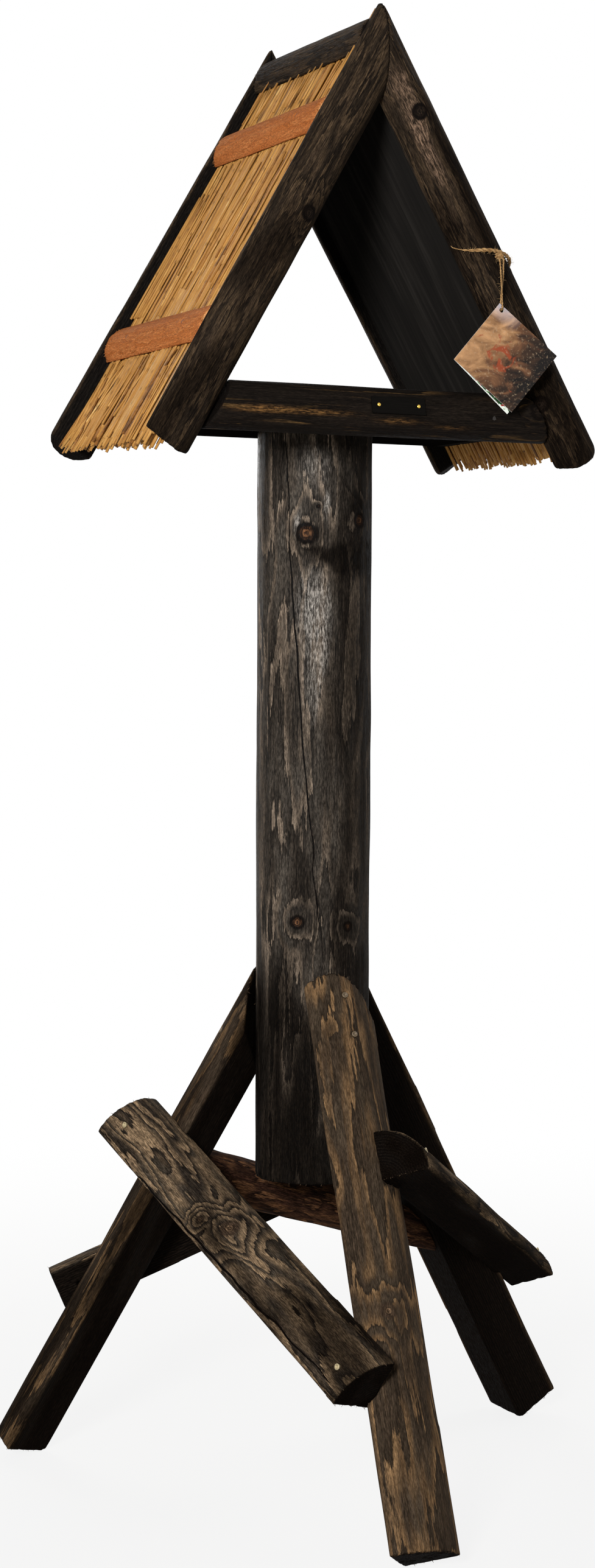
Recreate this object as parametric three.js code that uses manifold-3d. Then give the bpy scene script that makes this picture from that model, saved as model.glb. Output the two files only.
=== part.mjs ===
import * as THREE from 'three';
import { mergeVertices } from 'three/addons/utils/BufferGeometryUtils.js';
import Module from 'manifold-3d';

// A reed-roofed bird table: a round post on three split-log legs, with spiral braces and a gabled house.
// Lengths are millimetres. Z is up, the front of the house faces -Y, and its right side is +X.

const wasm = await Module();
wasm.setup();

// Clearances
const gap = 0.3; // between pieces that touch
const overrun = 6; // how far a cutter runs past what it cuts

// Post
const postRadius = 59.3;
const postLength = 772.7;
const postFootHeight = 315;

// Legs, quarter logs with the pith corner underneath
const legRadius = 55.9;
const legSpread = 312; // from the post's axis to a leg's foot corner
const legJoinHeight = 424; // where a leg's corner meets the post
const footWear = 1.5; // how much of the corner is worn flat on the ground
const legs = {
  front: { turn: -100.4, roll: 15.8, spreadShare: 1.01, joinShare: 1.005 },
  left: { turn: 137.8, roll: 17.3, spreadShare: 0.95, joinShare: 0.991 },
  right: { turn: 16.7, roll: 34.3, spreadShare: 1.04, joinShare: 1.005 },
};

// Spiral braces, quarter logs let into the outside of two legs each
const braceRadius = 51.9;
const braceUpperHeight = 337;
const braceLowerHeight = 144;
const braces = {
  front: {
    upperLeg: 'left', upperShares: { height: 1.02, out: 1.687, side: 0.041 },
    lowerLeg: 'front', lowerShares: { height: 0.983, out: 0.846, side: -0.397 },
    lean: 61.2,
  },
  right: {
    upperLeg: 'front', upperShares: { height: 1.008, out: 1.202, side: 0.361 },
    lowerLeg: 'right', lowerShares: { height: 1.001, out: 1.742, side: 0.392 },
    lean: 64.3,
  },
  rear: {
    upperLeg: 'right', upperShares: { height: 0.943, out: 1.247, side: 0.325 },
    lowerLeg: 'left', lowerShares: { height: 1.028, out: 1.12, side: -0.197 },
    lean: 54.8,
  },
};

// Rear stretcher, a thin round log between the inner flats of the left and right legs
const stretcherRadius = 28.5;
const stretcherTipShare = 0.7;
const stretcherLeftHeight = 313;
const stretcherRightHeight = 229;
const stretcherSeatShare = 0.44; // of the leg's radius, out from its corner

// Screws of the stand
const screwRadius = 2.3;
const screwHeadRadius = 4.2;
const screwHeadHeight = 2.6;
const screwLength = 62;
const screwSink = 0.5;
const braceScrewInset = 24; // from a brace's end

// House
const houseForward = 14.55; // the house's middle, ahead of the post's axis
const insideDepth = 241.7; // between the flats of the front and rear barge boards
const roofRise = 413; // from the floor's underside to the apex of the barge boards
const halfAngle = 30.3; // of a slope, from the vertical
const rearHalfAngle = 30.85; // the rear pair stands a little wider
const bargeRadius = 25;
const bargeLength = 503;
const rearBargeLength = 494;
const bargeEase = 8; // the cut-off corner at a barge board's lower end
const railRadius = 24.5;
const frontRailDrop = 15; // the rail's lower edge, below the floor's underside
const floorThickness = 15;

// Roof layers, counted inward from the barge boards' outer edge
const thatchInset = 10;
const thatchThickness = 14;
const panelThickness = 11.7;
const reedLength = 508; // along the slope from the apex
const reedPitch = 5.6;
const reedScatter = 7; // how far a reed falls short of its neighbours
const reedLengthShares = { left: { front: 1, rear: 0.965 }, right: { front: 0.985, rear: 0.975 } };
const battenWidth = 42;
const battenHeight = 11.5;
const battenEdge = 1.6;
const upperBattenReach = 126; // from the apex to the middle of the upper battens
const lowerBattenReach = 370;
const ridgeReach = 32;

// Nails
const nailRadius = 1.2;
const nailHeadRadius = 2.6;
const nailHeadHeight = 0.8;
const nailLength = 32;

// Name plate
const plateWidth = 60;
const plateHeight = 17;
const plateThickness = 1;
const plateAside = 11.5; // right of the middle
const plateRise = 5; // above the rail's middle
const pinRadius = 0.8;
const pinHeadRadius = 2;
const pinHeadHeight = 1;
const pinLength = 9;

// Swing tag and its twine
const twineRadius = 1.1;
const tieRadius = 2.4;
const tieStart = 240; // along the barge board from the apex
const tieEnd = 290;
const tieStartTurn = 6; // degrees round the barge board, from its outer edge on the house's side
const tieEndTurn = 178;
const knotRadius = 4.6;
const knotShare = 0.66; // of the way along the tie
const knotTurn = 104;
const cardHeight = 78; // along the fold
const cardWidth = 78; // across a leaf
const cardThickness = 0.4;
const cardDrop = 48; // from the knot to the card's top corner
const cardForward = 4; // the fold, ahead of the knot
const cardAside = 1.5;
const holeRadius = 2.4;
const holeFromTop = 4.2;
const holeFromFold = 5.6;
const twineBend = 2.6;

// Shares and counts of the logs' natural unevenness
const postWaveShare = 0.012;
const logWaveShare = 0.016;
const postSides = 28;
const arcSteps = 10;
const halfArcSteps = 14;

const rightAngle = 90;
const degree = Math.PI / 180;
const floorUnder = postFootHeight + postLength + gap;
const apexHeight = floorUnder + roofRise;
const frontFlat = -houseForward - insideDepth / 2;
const rearFlat = -houseForward + insideDepth / 2;
const panelOuter = thatchInset + thatchThickness + gap;
const panelInner = panelOuter + panelThickness;
const upward = new THREE.Vector3(0, 0, 1);

const materials = {
  postWood: { color: 0x4a433b, roughness: 0.8, metalness: 0 },
  splitWood: { color: 0x43372b, roughness: 0.8, metalness: 0 },
  barkWood: { color: 0x4f3a2c, roughness: 0.9, metalness: 0 },
  bargeWood: { color: 0x40362c, roughness: 0.75, metalness: 0 },
  battenWood: { color: 0x7a4722, roughness: 0.75, metalness: 0 },
  panelBoard: { color: 0x22262a, roughness: 0.85, metalness: 0 },
  reed: { color: 0xb08d52, roughness: 0.85, metalness: 0 },
  twine: { color: 0xb39a68, roughness: 0.95, metalness: 0 },
  card: { color: 0x8a7258, roughness: 0.4, metalness: 0 },
  plate: { color: 0x141210, roughness: 0.5, metalness: 0 },
  brass: { color: 0xc89a3c, roughness: 0.3, metalness: 1 },
  steel: { color: 0x5c5a56, roughness: 0.45, metalness: 1 },
};

const table = new THREE.Group();

// Adds a named mesh with a material of its own to a group
function addMesh(name, geometry, look, group = table) {
  const mesh = new THREE.Mesh(geometry, new THREE.MeshStandardMaterial({ ...materials[look], flatShading: true }));
  mesh.name = name;
  group.add(mesh);
  return mesh;
}

// Turns a closed geometry into a solid that can be cut
function solidOf(geometry) {
  const bare = geometry.clone();
  bare.deleteAttribute('normal');
  bare.deleteAttribute('uv');
  const merged = mergeVertices(bare);
  const triVerts = new Uint32Array(merged.index.array);
  const vertProperties = new Float32Array(merged.attributes.position.array);
  return new wasm.Manifold(new wasm.Mesh({ numProp: 3, vertProperties, triVerts }));
}

function geometryOf(solid) {
  const mesh = solid.getMesh();
  const geometry = new THREE.BufferGeometry();
  geometry.setAttribute('position', new THREE.BufferAttribute(mesh.vertProperties, 3));
  geometry.setIndex(new THREE.BufferAttribute(mesh.triVerts, 1));
  return geometry;
}

function cutBy(solid, cutters) {
  return cutters.reduce((rest, cutter) => rest.subtract(cutter), solid);
}

// Six times the volume that a triangle list encloses, positive when its faces point out
function signedVolume(position, index) {
  let total = 0;
  for (let start = 0; start < index.length; start += 3) {
    const [a, b, c] = [0, 1, 2].map((corner) => new THREE.Vector3().fromArray(position, 3 * index[start + corner]));
    total += a.dot(b.cross(c));
  }
  return total;
}

// Sweeps a flat outline: place gives a point of the outline its position at each share of the way
function sweep(outline, steps, place) {
  const ring = THREE.ShapeUtils.isClockWise(outline) ? outline.slice().reverse() : outline;
  const position = [];
  const index = [];
  const count = ring.length;
  for (let step = 0; step <= steps; step++) {
    ring.forEach((point) => position.push(...place(point, step / steps).toArray()));
  }
  for (let step = 0; step < steps; step++) {
    for (let side = 0; side < count; side++) {
      const here = step * count + side;
      const next = step * count + ((side + 1) % count);
      index.push(here, next, next + count, here, next + count, here + count);
    }
  }
  const last = steps * count;
  THREE.ShapeUtils.triangulateShape(ring, []).forEach(([a, b, c]) => {
    index.push(a, c, b, last + a, last + b, last + c);
  });
  if (signedVolume(position, index) < 0) index.reverse();
  const geometry = new THREE.BufferGeometry();
  geometry.setAttribute('position', new THREE.Float32BufferAttribute(position, 3));
  geometry.setIndex(index);
  return geometry;
}

// Points of an arc around the origin, between two angles in degrees
function arc(radius, from, to, steps) {
  return Array.from({ length: steps + 1 }, (unused, step) => {
    const angle = degree * (from + ((to - from) * step) / steps);
    return new THREE.Vector2(radius * Math.cos(angle), radius * Math.sin(angle));
  });
}

// Quarter log: its corner at the origin, its bisector along the first axis
function quarterOutline(radius, grow = 0) {
  const back = grow * Math.SQRT2;
  const points = [new THREE.Vector2(0, 0), ...arc(radius + grow + back, -45, 45, arcSteps)];
  return points.map((point) => point.sub(new THREE.Vector2(back, 0)));
}

function circleOutline(radius, sides) {
  return arc(radius, 0, 360 - 360 / sides, sides - 1);
}

// The slow swell and waist of a natural log, as a share of its radius
function swell(waveShare, along, around) {
  const slow = Math.sin(2.3 * Math.PI * along + 2 * around);
  const quick = Math.sin(5.1 * Math.PI * along - 3 * around + 1);
  return 1 + waveShare * (0.6 * slow + 0.4 * quick);
}

// A block whose one face passes through a point, with its bulk on the side that the direction points to
function blockBeyond(point, direction, size) {
  const block = new THREE.BoxGeometry(size, size, size).translate(0, size / 2, 0);
  const turn = new THREE.Quaternion().setFromUnitVectors(new THREE.Vector3(0, 1, 0), direction.clone().normalize());
  block.applyQuaternion(turn);
  return solidOf(block.translate(point.x, point.y, point.z));
}

// A quarter log from one end of its corner line to the other, in its own frame
function quarterLog(log, grow = 0) {
  const longer = log.axis.clone().multiplyScalar(grow);
  const start = log.start.clone().sub(longer);
  const end = log.end.clone().add(longer);
  return sweep(quarterOutline(log.radius, grow), 8, (point, along) => {
    const size = swell(logWaveShare, along, Math.atan2(point.y, log.radius));
    return start.clone().lerp(end, along)
      .addScaledVector(log.middle, point.x * size)
      .addScaledVector(log.across, point.y * size);
  });
}

// Where a line leaves the round side of a quarter log
function leavesLog(log, from, direction) {
  const unit = direction.clone().normalize();
  const offset = from.clone().sub(log.start).projectOnPlane(log.axis);
  const slope = unit.clone().projectOnPlane(log.axis);
  const a = slope.lengthSq();
  const b = offset.dot(slope);
  const c = offset.lengthSq() - log.radius ** 2;
  const travel = (-b + Math.sqrt(b * b - a * c)) / a;
  return from.clone().addScaledVector(unit, travel);
}

// The frame of one leg: where its corner line runs, and which way its round side faces
function legFrame({ turn, roll, spreadShare, joinShare }) {
  const radial = new THREE.Vector3(Math.cos(turn * degree), Math.sin(turn * degree), 0);
  const sideways = new THREE.Vector3(-radial.y, radial.x, 0);
  const spread = legSpread * spreadShare;
  const join = legJoinHeight * joinShare;
  const tilt = Math.atan2(spread - postRadius - gap, join);
  const axis = radial.clone().multiplyScalar(Math.sin(tilt)).addScaledVector(upward, -Math.cos(tilt));
  const normal = radial.clone().multiplyScalar(Math.cos(tilt)).addScaledVector(upward, Math.sin(tilt));
  const middle = normal.clone().applyAxisAngle(normal.clone().cross(sideways), roll * degree);
  const across = sideways.clone().applyAxisAngle(normal.clone().cross(sideways), roll * degree);
  const cornerAt = (height) => radial.clone()
    .multiplyScalar(spread - height * Math.tan(tilt))
    .addScaledVector(upward, height);
  const lowest = Math.min(...quarterOutline(legRadius).map((point) => point.x * middle.z + point.y * across.z));
  const rise = legRadius / Math.sin(tilt) + overrun;
  return {
    radius: legRadius,
    start: cornerAt(join + rise),
    end: cornerAt(-lowest - footWear),
    axis, middle, across, radial, sideways, tilt, turn, roll, join, cornerAt,
  };
}

const legFrames = Object.fromEntries(Object.entries(legs).map(([name, leg]) => [name, legFrame(leg)]));

// The point of a brace's corner that lies beside a leg
function braceEnd(legName, height, shares) {
  const leg = legFrames[legName];
  return leg.cornerAt(height * shares.height)
    .addScaledVector(leg.radial, legRadius * shares.out)
    .addScaledVector(leg.sideways, legRadius * shares.side);
}

// The frame of one brace: its inner flat faces the legs, its round side faces out and up
function braceFrame({ upperLeg, upperShares, lowerLeg, lowerShares, lean }) {
  const start = braceEnd(upperLeg, braceUpperHeight, upperShares);
  const end = braceEnd(lowerLeg, braceLowerHeight, lowerShares);
  const axis = end.clone().sub(start).normalize();
  const rise = upward.clone().projectOnPlane(axis).normalize();
  const out = rise.clone().cross(axis).normalize();
  if (out.dot(start.clone().add(end)) < 0) out.negate();
  const direction = (angle) => out.clone()
    .multiplyScalar(Math.cos(angle * degree))
    .addScaledVector(rise, Math.sin(angle * degree));
  return {
    radius: braceRadius, start, end, axis, upperLeg, lowerLeg,
    middle: direction(lean),
    across: direction(lean + rightAngle),
    flat: direction(lean + rightAngle / 2),
    inward: direction(lean + 1.5 * rightAngle),
  };
}

const braceFrames = Object.fromEntries(Object.entries(braces).map(([name, brace]) => [name, braceFrame(brace)]));

// Screws, nails and pins stand head up along Y, with the top of the head at the origin
function fastenerOutline(radius, headRadius, headHeight, length, grow = 0) {
  const top = grow > 0 ? overrun : 0;
  return [
    new THREE.Vector2(0, top),
    new THREE.Vector2(headRadius + grow, top),
    new THREE.Vector2(headRadius + grow, 0),
    new THREE.Vector2(radius + grow, -headHeight - grow),
    new THREE.Vector2(radius + grow, 2 * radius - length),
    new THREE.Vector2(0, -length - 2 * grow),
  ].filter((point, order) => grow > 0 || order !== 1);
}

const fasteners = {
  screw: { sizes: [screwRadius, screwHeadRadius, screwHeadHeight, screwLength], look: 'steel', sides: 10 },
  nail: { sizes: [nailRadius, nailHeadRadius, nailHeadHeight, nailLength], look: 'steel', sides: 8 },
  pin: { sizes: [pinRadius, pinHeadRadius, pinHeadHeight, pinLength], look: 'brass', sides: 12 },
};

// Adds a fastener driven in at a point and gives back the hole that it needs
function drive(kind, name, point, inward, group = table) {
  const { sizes, look, sides } = fasteners[kind];
  const outward = inward.clone().normalize().negate();
  const turn = new THREE.Quaternion().setFromUnitVectors(new THREE.Vector3(0, 1, 0), outward);
  const profile = fastenerOutline(...sizes).reverse();
  const mesh = addMesh(name, new THREE.LatheGeometry(profile, sides), look, group);
  mesh.position.copy(point);
  mesh.quaternion.copy(turn);
  mesh.updateMatrix();
  const hole = new THREE.LatheGeometry(fastenerOutline(...sizes, gap).reverse(), sides);
  return solidOf(hole.applyMatrix4(mesh.matrix));
}

// Drives a screw into a quarter log from outside, aimed back along the line that leaves it
function driveIntoLog(name, log, from, outward) {
  const unit = outward.clone().normalize();
  const surface = leavesLog(log, from, unit).addScaledVector(unit, -screwSink);
  return drive('screw', name, surface, unit.clone().negate());
}

// Each leg is screwed to the post twice, square to its own length
function legScrews() {
  const holes = { post: [], front: [], left: [], right: [] };
  const riseShares = { lower: -0.15, upper: 0.75 };
  const turnShare = 0.7;
  Object.entries(legFrames).forEach(([name, leg]) => {
    const turn = (leg.turn + turnShare * leg.roll) * degree;
    const outward = new THREE.Vector3(Math.cos(turn), Math.sin(turn), Math.tan(leg.tilt));
    Object.entries(riseShares).forEach(([level, share]) => {
      const from = new THREE.Vector3(0, 0, leg.join + legRadius * share);
      const hole = driveIntoLog(`leg_screw_${name}_${level}`, leg, from, outward);
      holes[name].push(hole);
      holes.post.push(hole);
    });
  });
  return holes;
}

// Each brace has one screw through each end, into the leg behind it
function braceScrews() {
  const holes = { front: [], left: [], right: [], braces: { front: [], right: [], rear: [] } };
  const heightShare = 0.5;
  Object.entries(braceFrames).forEach(([name, brace]) => {
    const ends = {
      upper: { point: brace.start, inset: braceScrewInset, leg: brace.upperLeg },
      lower: { point: brace.end, inset: -braceScrewInset, leg: brace.lowerLeg },
    };
    Object.entries(ends).forEach(([level, end]) => {
      const from = end.point.clone()
        .addScaledVector(brace.axis, end.inset)
        .addScaledVector(brace.flat, braceRadius * heightShare);
      const hole = driveIntoLog(`brace_screw_${name}_${level}`, brace, from, brace.inward.clone().negate());
      holes[end.leg].push(hole);
      holes.braces[name].push(hole);
    });
  });
  return holes;
}

// The seat of the stretcher on the flat of a leg that faces the other leg
function stretcherSeat(leg, height, turnSign) {
  const along = leg.middle.clone().add(leg.across.clone().multiplyScalar(turnSign)).normalize();
  const away = legRadius * stretcherSeatShare;
  return {
    point: leg.cornerAt(height - away * along.z).addScaledVector(along, away),
    facing: along.clone().cross(leg.axis).multiplyScalar(turnSign).normalize(),
  };
}

const stretcherSeats = {
  left: stretcherSeat(legFrames.left, stretcherLeftHeight, -1),
  right: stretcherSeat(legFrames.right, stretcherRightHeight, 1),
};

function stretcherSolid() {
  const { left, right } = stretcherSeats;
  const axis = right.point.clone().sub(left.point).normalize();
  const side = upward.clone().cross(axis).normalize();
  const rise = axis.clone().cross(side);
  const start = left.point.clone().addScaledVector(axis, -stretcherRadius);
  const end = right.point.clone().addScaledVector(axis, stretcherRadius);
  const log = sweep(circleOutline(stretcherRadius, 16), 10, (point, along) => {
    const taper = 1 + (stretcherTipShare - 1) * along;
    const size = taper * swell(logWaveShare, along, Math.atan2(point.y, point.x));
    return start.clone().lerp(end, along)
      .addScaledVector(side, point.x * size)
      .addScaledVector(rise, point.y * size);
  });
  const trims = [left, right].map((seat) => {
    return blockBeyond(seat.point.clone().addScaledVector(seat.facing, gap), seat.facing.clone().negate(), legSpread);
  });
  return cutBy(solidOf(log), trims);
}

// One slanting screw from the rear side of each end of the stretcher into the leg beside it
function stretcherScrews() {
  const { left, right } = stretcherSeats;
  const backShare = 0.55;
  const toeScrew = (name, seat, other, radius) => {
    const inner = other.point.clone().sub(seat.point).normalize();
    const side = new THREE.Vector3(0, 1, 0).projectOnPlane(inner).normalize();
    const head = seat.point.clone()
      .addScaledVector(inner, screwLength * backShare)
      .addScaledVector(side, radius - 2 * screwSink);
    const inward = seat.point.clone().addScaledVector(inner, -screwLength / 4).sub(head);
    return drive('screw', `stretcher_screw_${name}`, head, inward);
  };
  return {
    left: toeScrew('left', left, right, stretcherRadius),
    right: toeScrew('right', right, left, stretcherRadius * stretcherTipShare),
  };
}

function postSolid() {
  return solidOf(sweep(circleOutline(postRadius, postSides), 12, (point, along) => {
    const size = swell(-postWaveShare, along, Math.atan2(point.y, point.x));
    const seat = Math.min(1, size);
    return new THREE.Vector3(point.x * seat, point.y * seat, postFootHeight + postLength * along);
  }));
}

// Post, legs, braces and stretcher, cut where they meet
function buildStand(floorHoles) {
  const toPost = legScrews();
  const toBraces = braceScrews();
  const toStretcher = stretcherScrews();
  const ground = blockBeyond(new THREE.Vector3(0, 0, 0), upward.clone().negate(), 3 * legSpread);
  const notches = Object.values(braceFrames).map((brace) => solidOf(quarterLog(brace, gap)));
  addMesh('post', geometryOf(cutBy(postSolid(), [...toPost.post, ...floorHoles])), 'postWood');
  Object.entries(legFrames).forEach(([name, leg]) => {
    const face = leg.radial.clone().multiplyScalar(postRadius + gap);
    const postSide = blockBeyond(face.setZ(leg.join), leg.radial.clone().negate(), 2 * legSpread);
    const bores = [...toPost[name], ...toBraces[name], ...(toStretcher[name] ? [toStretcher[name]] : [])];
    const solid = cutBy(solidOf(quarterLog(leg)), [postSide, ground, ...notches, ...bores]);
    addMesh(`leg_${name}`, geometryOf(solid), 'splitWood');
  });
  Object.entries(braceFrames).forEach(([name, brace]) => {
    const solid = cutBy(solidOf(quarterLog(brace)), toBraces.braces[name]);
    addMesh(`brace_${name}`, geometryOf(solid), 'splitWood');
  });
  const stretcher = cutBy(stretcherSolid(), [toStretcher.left, toStretcher.right, ...notches]);
  addMesh('stretcher_rear', geometryOf(stretcher), 'barkWood');
}

// A point on a slope: down from the apex, in from the barge boards' outer edge, and along the depth
function slopePoint(side, angle, down, inset, depth) {
  const sine = Math.sin(angle * degree);
  const cosine = Math.cos(angle * degree);
  return new THREE.Vector3(
    side * (down * sine - inset * cosine),
    depth,
    apexHeight - down * cosine - inset * sine,
  );
}

// How far down a slope the upright middle plane lies, where the two sides meet
function mitre(angle, inset) {
  return (gap / 2 + inset * Math.cos(angle * degree)) / Math.sin(angle * degree);
}

// Half of the width between the two slopes at a height, on a layer a given distance in
function halfWidth(angle, inset, height) {
  return (apexHeight - height) * Math.tan(angle * degree) - inset / Math.cos(angle * degree);
}

const sides = { left: -1, right: 1 };

function bargeBoard(side, angle, length, flat, facing) {
  return sweep(arc(bargeRadius, 0, 180, halfArcSteps), 6, (point, along) => {
    const inset = bargeRadius + point.x;
    const top = mitre(angle, inset);
    const past = Math.max(0, Math.abs(point.x) - (bargeRadius - bargeEase));
    const down = top + (length - past - top) * along;
    return slopePoint(side, angle, down, inset, flat + facing * point.y);
  });
}

function rail(angle, lowerEdge, flat, facing) {
  return sweep(arc(railRadius, 0, 180, halfArcSteps), 6, (point, along) => {
    const height = lowerEdge + railRadius + point.x;
    const reach = halfWidth(angle, 2 * bargeRadius + gap, height);
    return new THREE.Vector3(reach * (2 * along - 1), flat + facing * point.y, height);
  });
}

function rectangle(width, height) {
  return [
    new THREE.Vector2(0, 0), new THREE.Vector2(width, 0),
    new THREE.Vector2(width, height), new THREE.Vector2(0, height),
  ];
}

function floorBoard() {
  return sweep(rectangle(insideDepth - 2 * gap, floorThickness), 1, (point, along) => {
    const height = floorUnder + point.y;
    const reach = halfWidth(halfAngle, panelInner + gap, height);
    return new THREE.Vector3(reach * (2 * along - 1), frontFlat + gap + point.x, height);
  });
}

// The dark board under the reeds, from the apex down to the floor's underside
function roofPanel(side) {
  return sweep(rectangle(insideDepth - 2 * gap, panelThickness), 1, (point, along) => {
    const inset = panelOuter + point.y;
    const top = mitre(halfAngle, inset);
    const end = (roofRise - inset * Math.sin(halfAngle * degree)) / Math.cos(halfAngle * degree);
    return slopePoint(side, halfAngle, top + (end - top) * along, inset, frontFlat + gap + point.x);
  });
}

// A repeatable scatter between 0 and 1
function scatter(index) {
  const value = Math.sin(12.9898 * index + 4.1) * 43758.5453;
  return value - Math.floor(value);
}

// One layer of reeds side by side, with a ridged top and ragged lower ends
function thatch(sideName) {
  const depth = insideDepth - 2 * gap;
  const count = Math.max(2, Math.round(depth / reedPitch));
  const pitch = depth / count;
  const bumpShares = [[0, 0.3], [0.22, 0.08], [0.5, 0], [0.78, 0.08]];
  const underShares = [[0.5, 0], [1, 0.12]];
  const outline = [new THREE.Vector2(0, thatchThickness - underShares[1][1] * pitch)];
  for (let reed = 0; reed < count; reed++) {
    underShares.forEach(([along, high]) => {
      outline.push(new THREE.Vector2((reed + along) * pitch, thatchThickness - high * pitch));
    });
  }
  for (let reed = count; reed > 0; reed--) {
    bumpShares.forEach(([along, low]) => {
      outline.push(new THREE.Vector2((reed - along) * pitch, low * pitch));
    });
  }
  outline.push(new THREE.Vector2(0, bumpShares[0][1] * pitch));
  const reach = reedLengthShares[sideName];
  const endAt = (across) => {
    const reed = Math.min(count - 1, Math.floor((across / pitch) + 0.01));
    const full = reedLength * (reach.front + ((reach.rear - reach.front) * across) / depth);
    return full - reedScatter * scatter(reed + 50 * sides[sideName]);
  };
  return sweep(outline, 1, (point, along) => {
    const inset = thatchInset + point.y;
    const top = mitre(halfAngle, inset);
    const down = along === 0 ? top : endAt(point.x);
    return slopePoint(sides[sideName], halfAngle, down, inset, frontFlat + gap + point.x);
  });
}

// Battens and ridge pieces are the same low, rounded slat
function slatOutline() {
  const half = battenWidth / 2;
  const crown = battenHeight - battenEdge;
  const radius = (half * half + crown * crown) / (2 * crown);
  const spread = Math.asin(half / radius) / degree;
  const top = arc(radius, 90 - spread, 90 + spread, arcSteps);
  const base = [new THREE.Vector2(-half, 0), new THREE.Vector2(half, 0)];
  return [...base, ...top.map((point) => point.setY(point.y - radius + battenHeight))];
}

// A slat across the depth of a slope; near the apex its upper edge is cut on the middle plane
function slat(side, reach) {
  return sweep(slatOutline(), 1, (point, along) => {
    const inset = thatchInset - gap - point.y;
    const down = Math.max(reach + point.x, mitre(halfAngle, inset));
    const depth = frontFlat + gap + (insideDepth - 2 * gap) * along;
    return slopePoint(side, halfAngle, down, inset, depth);
  });
}

// Nails through a batten, the reeds and the board below
function battenNails(name, side, reach) {
  const depthShares = { front: 0.215, rear: 0.79 };
  const inward = slopePoint(side, halfAngle, 0, 1, 0).sub(slopePoint(side, halfAngle, 0, 0, 0));
  return Object.entries(depthShares).map(([place, share]) => {
    const depth = frontFlat + insideDepth * share;
    const head = slopePoint(side, halfAngle, reach, thatchInset - gap - battenHeight, depth);
    return drive('nail', `nail_${name}_${place}`, head.addScaledVector(inward, nailHeadHeight), inward);
  });
}

function buildRoofSide(name) {
  const side = sides[name];
  const reaches = { upper: upperBattenReach, lower: lowerBattenReach };
  const holes = [];
  Object.entries(reaches).forEach(([level, reach]) => {
    const nails = battenNails(`batten_${name}_${level}`, side, reach);
    addMesh(`batten_${name}_${level}`, geometryOf(cutBy(solidOf(slat(side, reach)), nails)), 'battenWood');
    holes.push(...nails);
  });
  addMesh(`ridge_slat_${name}`, slat(side, ridgeReach), 'bargeWood');
  addMesh(`thatch_${name}`, geometryOf(cutBy(solidOf(thatch(name)), holes)), 'reed');
  addMesh(`roof_panel_${name}`, geometryOf(cutBy(solidOf(roofPanel(side)), holes)), 'panelBoard');
  addMesh(`barge_front_${name}`, bargeBoard(side, halfAngle, bargeLength, frontFlat, -1), 'bargeWood');
  addMesh(`barge_rear_${name}`, bargeBoard(side, rearHalfAngle, rearBargeLength, rearFlat, 1), 'bargeWood');
}

// The bare plate lies against the round of the front rail and is pinned at both ends
function buildNamePlate(railMiddle) {
  const pinShares = { left: -0.37, right: 0.37 };
  const turn = Math.asin(plateRise / railRadius);
  const outward = new THREE.Vector3(0, -Math.cos(turn), Math.sin(turn));
  const back = outward.clone().multiplyScalar(railRadius + gap).add(new THREE.Vector3(plateAside, frontFlat, railMiddle));
  const front = back.clone().addScaledVector(outward, plateThickness);
  const holes = Object.entries(pinShares).map(([name, share]) => {
    const head = front.clone().add(new THREE.Vector3(plateWidth * share, 0, 0)).addScaledVector(outward, pinHeadHeight + gap);
    return drive('pin', `name_plate_pin_${name}`, head, outward.clone().negate());
  });
  const plate = new THREE.BoxGeometry(plateWidth, plateThickness, plateHeight).rotateX(-turn);
  const middle = back.clone().lerp(front, 0.5);
  plate.translate(middle.x, middle.y, middle.z);
  addMesh('name_plate', geometryOf(cutBy(solidOf(plate), holes)), 'plate');
  return holes;
}

// Each rail is nailed to the floor's edge near both ends
function railNails(place, flat, facing, crown) {
  const alongShares = { left: -0.62, right: 0.62 };
  const height = floorUnder + floorThickness / 2;
  const reach = halfWidth(halfAngle, panelInner, height);
  const bulge = Math.sqrt(railRadius ** 2 - (height - crown) ** 2);
  const inward = new THREE.Vector3(0, -facing, 0);
  return Object.entries(alongShares).map(([name, share]) => {
    const head = new THREE.Vector3(reach * share, flat + facing * (bulge - nailHeadHeight), height);
    return drive('nail', `nail_rail_${place}_${name}`, head, inward);
  });
}

function floorScrews() {
  const asideShares = { left: -0.45, right: 0.45 };
  return Object.entries(asideShares).map(([name, share]) => {
    const head = new THREE.Vector3(postRadius * share, 0, floorUnder + floorThickness - screwSink);
    return drive('screw', `floor_screw_${name}`, head, upward.clone().negate());
  });
}

function buildHouse(screwHoles) {
  const frontLower = floorUnder - frontRailDrop;
  const frontMiddle = frontLower + railRadius;
  const rearMiddle = floorUnder + railRadius;
  const frontNails = railNails('front', frontFlat, -1, frontMiddle);
  const rearNails = railNails('rear', rearFlat, 1, rearMiddle);
  const pins = buildNamePlate(frontMiddle);
  const frontRail = solidOf(rail(halfAngle, frontLower, frontFlat, -1));
  const rearRail = solidOf(rail(rearHalfAngle, floorUnder, rearFlat, 1));
  addMesh('rail_front', geometryOf(cutBy(frontRail, [...frontNails, ...pins])), 'bargeWood');
  addMesh('rail_rear', geometryOf(cutBy(rearRail, rearNails)), 'bargeWood');
  const floor = cutBy(solidOf(floorBoard()), [...frontNails, ...rearNails, ...screwHoles]);
  addMesh('floor_board', geometryOf(floor), 'panelBoard');
  Object.keys(sides).forEach(buildRoofSide);
}

// A point around the right front barge board, a height off its round side; 0 degrees is its inner edge
function aroundBarge(down, turn, off) {
  const away = bargeRadius + off;
  const inset = bargeRadius + away * Math.cos(turn * degree);
  return slopePoint(1, halfAngle, down, inset, frontFlat - away * Math.sin(turn * degree));
}

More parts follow.
